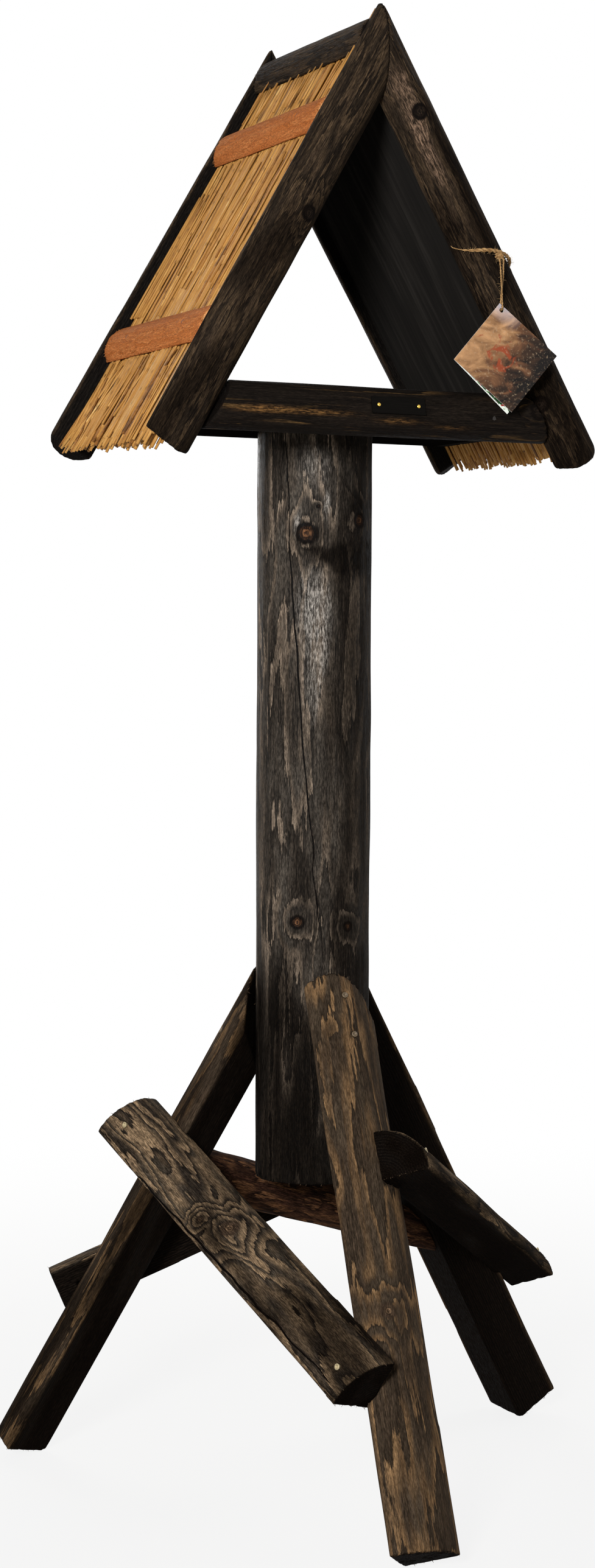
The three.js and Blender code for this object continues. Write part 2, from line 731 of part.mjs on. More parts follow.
// The twine that is tied round the barge board, from its frayed end to the outer edge
function twineTie(knot) {
  const sidesRound = 8;
  const fullShare = 0.3;
  const turnAt = (along) => tieStartTurn + (tieEndTurn - tieStartTurn) * along;
  const pointAt = (along) => {
    return aroundBarge(tieStart + (tieEnd - tieStart) * along, turnAt(along), gap + tieRadius);
  };
  const tie = sweep(circleOutline(tieRadius, sidesRound), 24, (point, along) => {
    const tangent = pointAt(along + 0.01).sub(pointAt(along - 0.01)).normalize();
    const off = aroundBarge(tieStart + (tieEnd - tieStart) * along, turnAt(along), gap + 2 * tieRadius)
      .sub(pointAt(along)).projectOnPlane(tangent).normalize();
    const size = Math.min(1, 0.35 + (0.65 * along) / fullShare);
    const across = tangent.clone().cross(off);
    return pointAt(along).addScaledVector(off, point.x * size).addScaledVector(across, point.y * size);
  });
  const lump = new THREE.IcosahedronGeometry(knotRadius, 2).translate(knot.x, knot.y, knot.z);
  return geometryOf(solidOf(tie).add(solidOf(lump)));
}

// The card hangs in a group of its own, whose origin is the knot that it swings about
function buildTag() {
  const knot = aroundBarge(tieStart + knotShare * (tieEnd - tieStart), knotTurn, gap + knotRadius);
  addMesh('twine_tie', twineTie(knot), 'twine');
  const tag = new THREE.Group();
  tag.position.copy(knot);
  table.add(tag);
  const foldTurn = 41.7 * degree;
  const leafTurns = { front: 12 * degree, rear: 4 * degree };
  const corner = new THREE.Vector3(-cardAside, -cardForward, -cardDrop);
  const fold = new THREE.Vector3(-Math.sin(foldTurn), 0, -Math.cos(foldTurn));
  const leaf = new THREE.Vector3(Math.cos(foldTurn), 0, -Math.sin(foldTurn));
  const half = cardThickness / 2;
  const leafEnd = (turn, off) => new THREE.Vector2(
    cardWidth * Math.cos(turn) + off * Math.sin(turn),
    -cardWidth * Math.sin(turn) + off * Math.cos(turn),
  );
  const crotch = cardThickness / (Math.tan(leafTurns.front) - Math.tan(leafTurns.rear));
  const bisect = (leafTurns.front + leafTurns.rear) / 2;
  const outline = [
    new THREE.Vector2(-half, -half),
    leafEnd(leafTurns.front, -half),
    leafEnd(leafTurns.front, half),
    new THREE.Vector2(crotch * Math.cos(bisect), -crotch * Math.sin(bisect)),
    leafEnd(leafTurns.rear, -half),
    leafEnd(leafTurns.rear, half),
    new THREE.Vector2(-half, half),
  ];
  const card = sweep(outline, 1, (point, along) => corner.clone()
    .addScaledVector(fold, cardHeight * along)
    .addScaledVector(leaf, point.x)
    .add(new THREE.Vector3(0, point.y, 0)));
  const hole = corner.clone().addScaledVector(fold, holeFromTop).addScaledVector(leaf, holeFromFold);
  const bore = new THREE.CylinderGeometry(holeRadius, holeRadius, 2 * cardWidth, 16);
  const cut = solidOf(card).subtract(solidOf(bore.translate(hole.x, hole.y, hole.z)));
  addMesh('tag_card', geometryOf(cut), 'card', tag);
  const leafMiddle = -holeFromFold * Math.tan(bisect);
  addMesh('tag_twine', tagTwine(hole.setY(corner.y + leafMiddle)), 'twine', tag);
}

// The doubled twine from the knot, down the front of the card, through its hole and up behind it
function tagTwine(hole) {
  const leave = (side) => new THREE.Vector3(0.4 * side, -0.65, -0.65).normalize();
  const bottom = hole.z + holeRadius / 3;
  const turnTop = bottom + twineBend;
  const high = turnTop + cardDrop / 4;
  const bend = [-1, -0.7, 0, 0.7, 1].map((share) => new THREE.Vector3(
    hole.x + (twineRadius / 3) * share,
    hole.y + twineBend * share,
    turnTop - twineBend * Math.sqrt(1 - share * share),
  ));
  const points = [
    leave(-1).multiplyScalar(knotRadius + gap),
    leave(-1).multiplyScalar(knotRadius + gap + twineRadius),
    new THREE.Vector3(-twineBend, hole.y - twineBend / 2, -2 * knotRadius),
    new THREE.Vector3(hole.x - twineRadius, hole.y - twineBend, high),
    ...bend,
    new THREE.Vector3(hole.x + twineRadius, hole.y + twineBend, high),
    new THREE.Vector3(twineBend, hole.y + twineBend / 2, -2 * knotRadius),
    leave(1).multiplyScalar(knotRadius + gap + twineRadius),
    leave(1).multiplyScalar(knotRadius + gap),
  ];
  const section = new THREE.Shape(circleOutline(twineRadius, 8));
  const path = new THREE.CatmullRomCurve3(points, false, 'centripetal');
  return new THREE.ExtrudeGeometry(section, { steps: 48, bevelEnabled: false, extrudePath: path });
}

const screwHoles = floorScrews();
buildStand(screwHoles);
buildHouse(screwHoles);
buildTag();

// The finished table stands on the ground with the middle of its box over the origin
const box = new THREE.Box3().setFromObject(table, true);
const middle = box.getCenter(new THREE.Vector3());
table.position.set(-middle.x, -middle.y, -box.min.z);
table.updateMatrixWorld(true);

export default table;
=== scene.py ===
import math
import random

import bmesh
import bpy
import numpy as np
from mathutils import Matrix, Vector, noise


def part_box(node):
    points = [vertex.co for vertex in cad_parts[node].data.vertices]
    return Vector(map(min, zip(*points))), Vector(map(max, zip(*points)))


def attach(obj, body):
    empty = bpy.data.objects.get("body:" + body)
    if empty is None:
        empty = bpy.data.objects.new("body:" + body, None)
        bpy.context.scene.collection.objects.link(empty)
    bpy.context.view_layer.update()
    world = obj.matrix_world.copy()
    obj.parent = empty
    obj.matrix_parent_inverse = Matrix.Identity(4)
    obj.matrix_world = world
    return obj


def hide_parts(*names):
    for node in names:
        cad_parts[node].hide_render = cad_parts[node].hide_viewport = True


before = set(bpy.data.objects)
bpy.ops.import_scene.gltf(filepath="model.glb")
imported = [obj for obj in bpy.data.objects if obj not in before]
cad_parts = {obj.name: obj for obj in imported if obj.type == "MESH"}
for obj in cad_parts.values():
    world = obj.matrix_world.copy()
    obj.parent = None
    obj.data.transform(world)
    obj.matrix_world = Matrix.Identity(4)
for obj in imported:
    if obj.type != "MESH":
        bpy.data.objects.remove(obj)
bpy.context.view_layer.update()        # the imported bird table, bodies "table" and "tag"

scene = bpy.context.scene
scene.view_settings.view_transform = "Standard"

# ---- camera, at the photograph's place ----
camera = {
    "place": (-1.34813, -2.55011, 0.84770),   # metres, the logs stand on z = 0
    "yaw": 0.45862,                           # radians, to the right of straight ahead
    "pitch": -0.042525,
    "roll": 0.0046208,
    "lens": 64.45, "sensor": 36,              # mm, the sensor's height
    "nearest": 0.05,
}


def addCamera():
    ahead = Vector((math.sin(camera["yaw"]) * math.cos(camera["pitch"]),
                    math.cos(camera["yaw"]) * math.cos(camera["pitch"]), math.sin(camera["pitch"])))
    right = Vector((ahead.y, -ahead.x, 0)).normalized()
    up = right.cross(ahead)
    turned = Matrix.Rotation(-camera["roll"], 3, ahead)
    right, up = turned @ right, turned @ up
    eye = bpy.data.objects.new("photo_camera", bpy.data.cameras.new("photo_camera"))
    eye.matrix_world = Matrix.Translation(camera["place"]) @ Matrix((right, up, -ahead)).transposed().to_4x4()
    eye.data.sensor_fit = "VERTICAL"
    eye.data.sensor_height = camera["sensor"]
    eye.data.lens = camera["lens"]
    eye.data.clip_start = camera["nearest"]
    scene.collection.objects.link(eye)
    scene.camera = eye


addCamera()
print("camera set")


# ---- small helpers for materials ----
def colour(text):                             # an sRGB hex value as linear red, green, blue
    values = [int(text[i:i + 2], 16) / 255 for i in (1, 3, 5)]
    return [v / 12.92 if v <= 0.04045 else ((v + 0.055) / 1.055) ** 2.4 for v in values] + [1]


# A socket takes a value, a hex colour, a node's first output or a given output
def addNode(tree, kind, sockets=None, stops=None, **settings):
    node = tree.nodes.new(kind)
    for name, value in settings.items():
        setattr(node, name, value)
    for place, value in (sockets or {}).items():
        if isinstance(value, str):
            value = colour(value)
        if isinstance(value, bpy.types.Node):
            value = value.outputs[0]
        if isinstance(value, bpy.types.NodeSocket):
            tree.links.new(value, node.inputs[place])
        else:
            node.inputs[place].default_value = value
    for index, (at, shade) in enumerate(stops or []):
        ramp = node.color_ramp.elements
        step = ramp[index] if index < 2 else ramp.new(at)
        step.position = at
        step.color = colour(shade)
    return node


def newMaterial(name):
    material = bpy.data.materials.new(name)
    material.use_nodes = True
    material.node_tree.nodes.clear()
    return material, material.node_tree


def finishMaterial(tree, base, roughness, height=None, bumpDepth=0.0005, metallic=0.0, specular=0.5):
    sockets = {"Base Color": base, "Roughness": roughness, "Metallic": metallic, "Specular IOR Level": specular}
    if height is not None:
        sockets["Normal"] = addNode(tree, "ShaderNodeBump", {"Strength": 1.0, "Distance": bumpDepth, "Height": height})
    shader = addNode(tree, "ShaderNodeBsdfPrincipled", sockets)
    addNode(tree, "ShaderNodeOutputMaterial", {"Surface": shader})


# ---- stained wood ----
# Spruce logs, debarked by machine and dipped in a dark, satin wood stain. The knife leaves long tan
# flames where it cut through the stained outer rings, and the sawn flats and ends stay plain and darker, their near
# black partly painted shade.
def stainedWood(name, look):
    material, tree = newMaterial(name)
    grain = addNode(tree, "ShaderNodeAttribute", attribute_name="grain")      # metres from the pith
    marks = addNode(tree, "ShaderNodeAttribute", attribute_name="marks")      # mm: knot, crack, its width
    sides = addNode(tree, "ShaderNodeAttribute", attribute_name="sides")      # sawn end, round side, then darker above 0 as painted shade and darker ends, paler below 0 as wear and painted highlight
    knotAway, crackOff, crackWide = addNode(tree, "ShaderNodeSeparateXYZ", {0: marks.outputs["Vector"]}).outputs
    sawnEnd, roundSide, darkening = addNode(tree, "ShaderNodeSeparateXYZ", {0: sides.outputs["Vector"]}).outputs
    place = addNode(tree, "ShaderNodeVectorMath", {0: grain.outputs["Vector"], 1: (1000, 1000, 1000)}, operation="MULTIPLY")
    smooth = {"interpolation_type": "SMOOTHSTEP"}

    # streaks: millimetres from one to the next across and along the grain, then detail, roughness, distortion
    streaks = {
        "patches": (look["patchWidth"], look["patchLength"], 2.0, 0.45, 0.3),
        "fibre": (1.3, 45, 3.0, 0.65, 0.0),                # a real fibre is a thirtieth of that, too fine to show
        "fine": (0.55, 5, 2.0, 0.6, 0.0),
        "serration": (look["fingerWidth"], look["fingerLength"], 3.0, 0.6, 0.1),
        "tufts": (1.5, look["tuftLength"], 3.0, 0.7, 0.0),
        "gate": (look["gateWidth"], look["gateLength"], 2.0, 0.55, 0.0),
        "grey": (26, 120, 3.0, 0.6, 0.0),
    }
    clouds = []
    for across, along, detail, rough, distortion in streaks.values():
        spread = (1 / across, 1 / across, 1 / along)
        spread = addNode(tree, "ShaderNodeVectorMath", {0: place, 1: spread}, operation="MULTIPLY")
        clouds.append(addNode(tree, "ShaderNodeTexNoise", {"Vector": spread, "Scale": 1.0, "Detail": detail,
                                                           "Roughness": rough, "Distortion": distortion}))
    patches, fibre, fine, serration, tufts, gate, grey = clouds

    # each flame has one sharp, jagged edge, and fades out on its other side; flames circle the knots
    whorl = addNode(tree, "ShaderNodeMapRange", {0: knotAway, 1: 3, 2: look["whorl"], 3: look["whorlTurns"], 4: 0.0},
                    **smooth)
    terrace = addNode(tree, "ShaderNodeMath", {0: patches, 1: look["contours"], 2: whorl}, operation="MULTIPLY_ADD")
    for cloud, share in ((serration, look["serration"]), (tufts, look["feather"]), (fibre, look["feather"] * 0.8)):
        terrace = addNode(tree, "ShaderNodeMath", {0: cloud, 1: share, 2: terrace}, operation="MULTIPLY_ADD")
    terrace = addNode(tree, "ShaderNodeMath", {0: terrace}, operation="FRACT")
    sharp = addNode(tree, "ShaderNodeMapRange", {0: terrace, 1: 0.0, 2: 0.06}, **smooth)
    faded = addNode(tree, "ShaderNodeMapRange", {0: terrace, 1: look["flameFrom"], 2: look["flameTo"], 3: 1.0, 4: 0.0},
                    **smooth)
    flame = addNode(tree, "ShaderNodeMath", {0: sharp, 1: faded}, operation="MULTIPLY")
    rim = addNode(tree, "ShaderNodeMapRange", {0: terrace, 1: 0.80, 2: 1.0}, **smooth)
    rim = addNode(tree, "ShaderNodeMath", {0: rim, 1: 0.7}, operation="MULTIPLY")
    opened = addNode(tree, "ShaderNodeMath", {0: serration, 1: 0.35, 2: gate}, operation="MULTIPLY_ADD")
    opened = addNode(tree, "ShaderNodeMapRange", {0: opened, 1: look["gateFrom"], 2: look["gateTo"],
                                                  3: look["gateLow"], 4: 1.0}, **smooth)
    nearKnot = addNode(tree, "ShaderNodeMapRange", {0: knotAway, 1: 7, 2: 26, 3: look["knotFlame"], 4: 0.0}, **smooth)
    opened = addNode(tree, "ShaderNodeMath", {0: opened, 1: nearKnot}, operation="MAXIMUM")
    tan = addNode(tree, "ShaderNodeMath", {0: flame, 1: opened}, operation="MULTIPLY")

    # the rings, which run as straight lines on a sawn flat and as arcs on a sawn end
    flatPlace = addNode(tree, "ShaderNodeVectorMath", {0: place, 1: (1, 1, 0)}, operation="MULTIPLY")
    distance = addNode(tree, "ShaderNodeVectorMath", {0: flatPlace}, operation="LENGTH").outputs["Value"]
    waver = addNode(tree, "ShaderNodeMath", {0: patches, 1: 3.0}, operation="MULTIPLY")
    rings = addNode(tree, "ShaderNodeMath", {0: distance, 1: 1 / look["ringWidth"], 2: waver}, operation="MULTIPLY_ADD")
    ring = addNode(tree, "ShaderNodeMath", {0: rings, 1: 0.5}, operation="PINGPONG")
    ring = addNode(tree, "ShaderNodeMath", {0: ring, 1: 2.0}, operation="MULTIPLY")
    flatLine = addNode(tree, "ShaderNodeMath", {0: ring, 1: 0.35, 2: fibre}, operation="MULTIPLY_ADD")
    endLine = addNode(tree, "ShaderNodeMath", {0: ring, 1: 0.8, 2: serration}, operation="MULTIPLY_ADD")

    # knots: an orange-brown heart with tight rings and a dark rim
    jagged = addNode(tree, "ShaderNodeMath", {0: serration, 1: 0.5}, operation="SUBTRACT")
    knotNear = addNode(tree, "ShaderNodeMath", {0: jagged, 1: 5.0, 2: knotAway}, operation="MULTIPLY_ADD")
    knotRing = addNode(tree, "ShaderNodeMath", {0: knotNear, 1: 0.45}, operation="MULTIPLY")
    knotRing = addNode(tree, "ShaderNodeMath", {0: tufts, 1: 0.8, 2: knotRing}, operation="MULTIPLY_ADD")
    knotRing = addNode(tree, "ShaderNodeMath", {0: knotRing, 1: 0.5}, operation="PINGPONG")
    knotRing = addNode(tree, "ShaderNodeMath", {0: knotRing, 1: 2.0}, operation="MULTIPLY")
    size = look["knotSize"]
    inKnot = addNode(tree, "ShaderNodeMapRange", {0: knotNear, 1: size + 0.5, 2: size + 3.0, 3: 1.0, 4: 0.0}, **smooth)

    # each finish starts from a colour, and is mottled by a value between two limits, up to a share, with another
    finishes = {
        "darkWood": (look["dark"], [(fibre, 0.32, 0.68, 1.0, look["darkPale"]),
                                    (grey, 0.42, 0.66, look["greyShare"], look["grey"])]),
        "tanWood": (look["tan"], [(serration, 0.35, 0.65, 1.0, look["tanPale"]),
                                  (fibre, 0.50, 0.72, 0.6, look["darkPale"])]),
        "sawnFlat": (look["flat"], [(flatLine, 0.35, 1.0, 1.0, look["flatPale"])]),
        "endGrain": (look["end"], [(endLine, 0.5, 1.3, 1.0, look["endPale"])]),
        "heart": (look["knotDark"], [(knotRing, 0.1, 0.9, 1.0, look["knot"]),
                                     (knotNear, size * 0.3, size * 0.9, 1.0, look["knotRim"])]),
    }
    for finish, (shade, mottles) in finishes.items():
        for value, low, high, most, other in mottles:
            share = addNode(tree, "ShaderNodeMapRange", {0: value, 1: low, 2: high, 3: 0.0, 4: most}, **smooth)
            shade = addNode(tree, "ShaderNodeMix", {0: share, 6: shade, 7: other}, data_type="RGBA").outputs[2]
        finishes[finish] = shade

    # paler streaks where the darkening is below 0, as rubbed wear and the post's painted satin highlight, and a darker
    # colour above 0
    paleStreaks = addNode(tree, "ShaderNodeMath", {0: fibre, 1: 0.6, 2: tufts}, operation="MULTIPLY_ADD")
    paleStreaks = addNode(tree, "ShaderNodeMapRange", {0: paleStreaks, 1: 0.60, 2: 1.0}, **smooth)
    wearAndSheen = addNode(tree, "ShaderNodeMapRange", {0: darkening, 1: -1, 2: 0, 3: 1.0, 4: 0.0}, **smooth)
    wearAndSheen = addNode(tree, "ShaderNodeMath", {0: wearAndSheen, 1: paleStreaks}, operation="MULTIPLY")
    darkened = addNode(tree, "ShaderNodeMapRange", {0: darkening, 1: 0, 2: 1, 3: 0.0, 4: 0.5}, **smooth)

    # a drying crack, coloured black inside: painted shade of its depth
    off = addNode(tree, "ShaderNodeMath", {0: crackOff, 1: 0.8}, operation="SUBTRACT")
    off = addNode(tree, "ShaderNodeMath", {0: fibre, 1: 1.6, 2: off}, operation="MULTIPLY_ADD")
    off = addNode(tree, "ShaderNodeMath", {0: off}, operation="ABSOLUTE")
    crack = addNode(tree, "ShaderNodeMath", {0: off, 1: crackWide}, operation="LESS_THAN")

    # the round side, and then the whole log, each finish laid over those before it
    shade = finishes["darkWood"]
    for share, over in ((tan, finishes["tanWood"]), (rim, look["dark"])):
        shade = addNode(tree, "ShaderNodeMix", {0: share, 6: shade, 7: over}, data_type="RGBA").outputs[2]
    shade = addNode(tree, "ShaderNodeMix", {0: roundSide, 6: finishes["sawnFlat"], 7: shade}, data_type="RGBA").outputs[2]
    for share, over in ((sawnEnd, finishes["endGrain"]), (wearAndSheen, look["wearAndSheen"]), (inKnot, finishes["heart"]),
                        (crack, "#080605"), (darkened, look["darkening"])):
        shade = addNode(tree, "ShaderNodeMix", {0: share, 6: shade, 7: over}, data_type="RGBA").outputs[2]

    # grit: small pale and dark flecks all over, dimmed where the darkening is above 0, as painted shade and darker ends
    light = addNode(tree, "ShaderNodeMapRange", {0: darkening, 1: 0, 2: 1, 3: 1.0, 4: look["darkestBrightness"]}, **smooth)
    for cloud in (tufts, fine):
        fleck = addNode(tree, "ShaderNodeMapRange", {0: cloud, 1: 0.40, 2: 0.60, 3: 1 - look["grit"], 4: 1 + look["grit"]},
                        **smooth)
        light = addNode(tree, "ShaderNodeMath", {0: fleck, 1: light}, operation="MULTIPLY")
    shade = addNode(tree, "ShaderNodeVectorMath", {0: shade, 1: light}, operation="MULTIPLY")

    relief = addNode(tree, "ShaderNodeMath", {0: roundSide, 1: -0.3}, operation="MULTIPLY")
    relief = addNode(tree, "ShaderNodeMath", {0: terrace, 1: relief, 2: fibre}, operation="MULTIPLY_ADD")
    for height, share in ((serration, 0.8), (fine, 0.35), (tufts, 0.6), (crack, -2.0)):
        relief = addNode(tree, "ShaderNodeMath", {0: height, 1: share, 2: relief}, operation="MULTIPLY_ADD")
    gloss = addNode(tree, "ShaderNodeMapRange", {0: tufts, 1: 0.4, 2: 0.6}, **smooth)
    gloss = addNode(tree, "ShaderNodeMath", {0: gloss, 1: 0.3, 2: look["roughness"] - 0.1}, operation="MULTIPLY_ADD")
    dull = addNode(tree, "ShaderNodeMapRange", {0: darkening, 1: 0, 2: 0.8, 3: 0.0, 4: 0.35}, **smooth)
    gloss = addNode(tree, "ShaderNodeMath", {0: gloss, 1: dull}, operation="ADD")
    finishMaterial(tree, shade, gloss, relief, look["relief"], specular=look["specular"])
    return material


# Widths and lengths in mm: the patches that the flames follow, the fingers of their edges, the gate that opens them
braceLook = {
    "dark": "#1a1613", "darkPale": "#3d342b", "grey": "#4b4339", "greyShare": 0.55, "tan": "#62513f", "tanPale": "#887157",
    # the sawn flats and ends: near black, partly the stain and partly painted shade
    "flat": "#0a0806", "flatPale": "#19130f", "end": "#080605", "endPale": "#14100d", "wearAndSheen": "#8a7964",
    # the darkening's colour: painted shade on a shaded side, and darker towards some ends
    "darkening": "#1c140e",
    "knot": "#6b5541", "knotDark": "#30251b", "knotRim": "#3a2e24", "knotSize": 6.0, "knotFlame": 0.6,
    "patchWidth": 32, "patchLength": 150, "contours": 6.5, "serration": 1.0, "fingerWidth": 4.5, "fingerLength": 40,
    "gateWidth": 26, "gateLength": 90, "gateFrom": 0.44, "gateTo": 0.68, "gateLow": 0.25,
    "flameFrom": 0.25, "flameTo": 0.85,
    "whorl": 40, "whorlTurns": 3.0, "ringWidth": 2.8, "tuftLength": 8, "feather": 0.30, "grit": 0.40, "darkestBrightness": 0.4,
    "roughness": 0.72, "specular": 0.012, "relief": 0.0008,
}
legLook = dict(
    braceLook, dark="#261f18", darkPale="#41352a", grey="#483d31", tan="#58432e", tanPale="#7c6144",
    patchWidth=32, patchLength=190, contours=5.0, serration=1.2, fingerWidth=6.0, fingerLength=80,
    gateFrom=0.48, gateTo=0.72, gateLow=0.10,
    flameFrom=0.1, flameTo=0.6, whorlTurns=2.0, feather=0.22, grit=0.30)
# On the post the silver rubbed colour is a painted satin highlight, and its pale grey mottle is partly painted sheen
postLook = dict(
    braceLook, dark="#191613", darkPale="#3b342d", grey="#4f4942", greyShare=0.5, tan="#4b4137", tanPale="#76685a",
    knot="#65462f", knotDark="#2c1e17", knotRim="#0d0907", knotFlame=0.35, wearAndSheen="#8f8982", patchWidth=34, patchLength=230,
    contours=5.0, serration=1.2, fingerWidth=5.0, fingerLength=60, gateFrom=0.46, gateTo=0.70, gateLow=0.12,
    flameFrom=0.1, flameTo=0.5, whorl=34, whorlTurns=1.2, tuftLength=7, grit=0.42, darkestBrightness=0.22,
    roughness=0.42, specular=0.025, relief=0.0006)
bargeLook = dict(
    braceLook, dark="#120e0b", darkPale="#241d16", grey="#30271e", greyShare=0.4, tan="#31271e", tanPale="#463829",
    knot="#2b221b", knotDark="#120e0b", knotRim="#0d0907", knotSize=7.0, knotFlame=0.2, flat="#0c0a09", flatPale="#191613",
    wearAndSheen="#735d4c", patchWidth=14, patchLength=120, contours=6.0, serration=2.0, fingerWidth=2.6, fingerLength=34,
    gateLow=0.10, whorlTurns=1.5, tuftLength=8, grit=0.34, darkestBrightness=0.42, specular=0.03, relief=0.0006)
railLook = dict(
    bargeLook, dark="#0d0a08", darkPale="#1b1612", grey="#211b16", tan="#30241a", tanPale="#523e25", wearAndSheen="#6f4f2c",
    patchWidth=20, patchLength=300, contours=6.0, serration=0.35, feather=0.12, gateWidth=14, gateLength=220, gateFrom=0.70,
    gateTo=0.84, gateLow=0.0, flameFrom=0.05, flameTo=0.45, whorl=30, whorlTurns=1.5, grit=0.28, relief=0.0004)
barkLook = dict(
    braceLook, dark="#1c120d", darkPale="#352219", grey="#140e0b", greyShare=0.9, tan="#38261b", tanPale="#553a26",
    patchWidth=22, patchLength=60, contours=5.0, gateFrom=0.52, gateTo=0.58, gateLow=0.0)
wood = {
    "post": stainedWood("stained_spruce_post", postLook),
    "leg": stainedWood("stained_split_leg", legLook),
    "brace": stainedWood("stained_split_brace", braceLook),
    "barge": stainedWood("stained_half_round_spruce", bargeLook),
    "rail": stainedWood("stained_half_round_rail", railLook),
    "bark": stainedWood("thin_log_with_bark", barkLook),
}
print("wood materials made")

# ---- logs ----
# The house in metres, as the solids have it
house = {
    "postPlace": Vector((-0.0432536, 0.0556354, 0)),
    "apex": 1.501,
    "frontFlat": -0.1354, "rearFlat": 0.1063,       # from the post's axis
    "slope": 30.3, "rearSlope": 30.85,              # degrees from upright
    "bargeRadius": 0.025, "railRadius": 0.0245,
}


def slopePoint(side, down, inset, depth, angle=house["slope"]):
    sine, cosine = math.sin(math.radians(angle)), math.cos(math.radians(angle))
    return house["postPlace"] + Vector((side * (down * sine - inset * cosine), depth,
                                        house["apex"] - down * cosine - inset * sine))


def addPiece(name, mesh, nodes=(), body="table"):
    piece = bpy.data.objects.new(name, mesh)
    scene.collection.objects.link(piece)
    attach(piece, body)
    if nodes:
        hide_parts(*nodes)
    return piece


def noiseAt(points, stretch, seed):
    scaled = points / np.array(stretch) + seed * 7.31
    return np.array([noise.noise(Vector(p)) for p in scaled])


def voxelMesh(mesh, size, smoothing):
    holder = bpy.data.objects.new("holder", mesh)
    scene.collection.objects.link(holder)
    voxels = holder.modifiers.new("voxels", "REMESH")
    voxels.mode = "VOXEL"
    voxels.voxel_size = size
    smooth = holder.modifiers.new("smooth", "SMOOTH")
    smooth.iterations = smoothing
    result = bpy.data.meshes.new_from_object(holder.evaluated_get(bpy.context.evaluated_depsgraph_get()))
    bpy.data.objects.remove(holder)
    return result


def logMatrix(mesh, start, end):             # its z runs along the pith, its x is square to the largest flat
    along = (end - start).normalized()
    widest, best = 0, Vector((1, 0, 0))
    for face in mesh.polygons:
        if abs(face.normal.dot(along)) < 0.1 and face.area > widest:
            widest, best = face.area, face.normal.copy()
    across = (best - along * best.dot(along)).normalized()
    return Matrix.Translation(start) @ Matrix((across, along.cross(across), along)).transposed().to_4x4()


def crackLines(points, crack, wobble):
    track = np.array([list(p[0]) + [p[1]] for p in crack])
    order = track[np.argsort(track[:, 2])]
    turn = np.unwrap(np.arctan2(order[:, 1], order[:, 0]))
    aim = np.interp(points[:, 2], order[:, 2], turn)
    width = np.interp(points[:, 2], order[:, 2], order[:, 3], left=0, right=0)
    angle = np.arctan2(points[:, 1], points[:, 0]) - aim
    angle = (angle + math.pi) % (2 * math.pi) - math.pi
    return angle * np.hypot(points[:, 0], points[:, 1]) * 1000 + wobble, width


logs = {}                                    # every log by its solid's name
logSurface = {                               # metres, where not said
    "wander": (0.03, 0.03, 0.12),            # the slow wave across and along a log
    "flatWave": 0.25,                        # a sawn side's share of the round side's waves
    "endWear": 0.004,                        # how far in from a sawn end it chips
    "knotRise": 0.0022, "knotReach": 16,     # a knot's bump, and how far it spreads in mm
    "heartDip": 0.0014, "heartReach": 5.5,   # its heart sinks in
    "crackDip": 0.0009, "crackReach": 1.6,
}


def darkeningShare(points, toLog, out, seed, darkFoot, paintedShadeSide, wearAndSheen):       # 1 darkest, 0 plain, -1 palest
    share = np.zeros(len(points))
    if darkFoot:                             # darker towards one end: from and to, along the log
        below = (darkFoot[0] - points[:, 2]) / (darkFoot[0] - darkFoot[1])
        share = np.clip(below + noiseAt(points, (0.02, 0.02, 0.1), seed), 0, 1)
    if paintedShadeSide:                             # or painted shade all along one side: its middle and half width in degrees, and depth
        middle, half, depth = paintedShadeSide
        aside = toLog.to_3x3() @ Vector((math.cos(math.radians(middle)), math.sin(math.radians(middle)), 0))
        facing = (points[:, :2] @ np.array((aside.x, aside.y))) / np.maximum(out, 1e-6)
        turned = np.degrees(np.arccos(np.clip(facing, -1, 1)))
        ragged = 1.5 * noiseAt(points, (0.02, 0.02, 0.15), seed + 2)
        share = np.maximum(share, depth * np.clip((half - turned) / 25 + ragged, 0, 1))
    for spot, wide, long, amount in wearAndSheen:  # above 0 paler, as rubbed wear and on the post a painted highlight; below 0 darker
        away = (points - np.array(toLog @ Vector(spot))) / np.array((wide, wide, long))
        patch = amount * np.exp(-(away ** 2).sum(1))
        share = np.clip(share - patch * np.where(patch > 0, (1 - np.clip(share, 0, 1)) ** 2, 1), -1, 1)
    return share


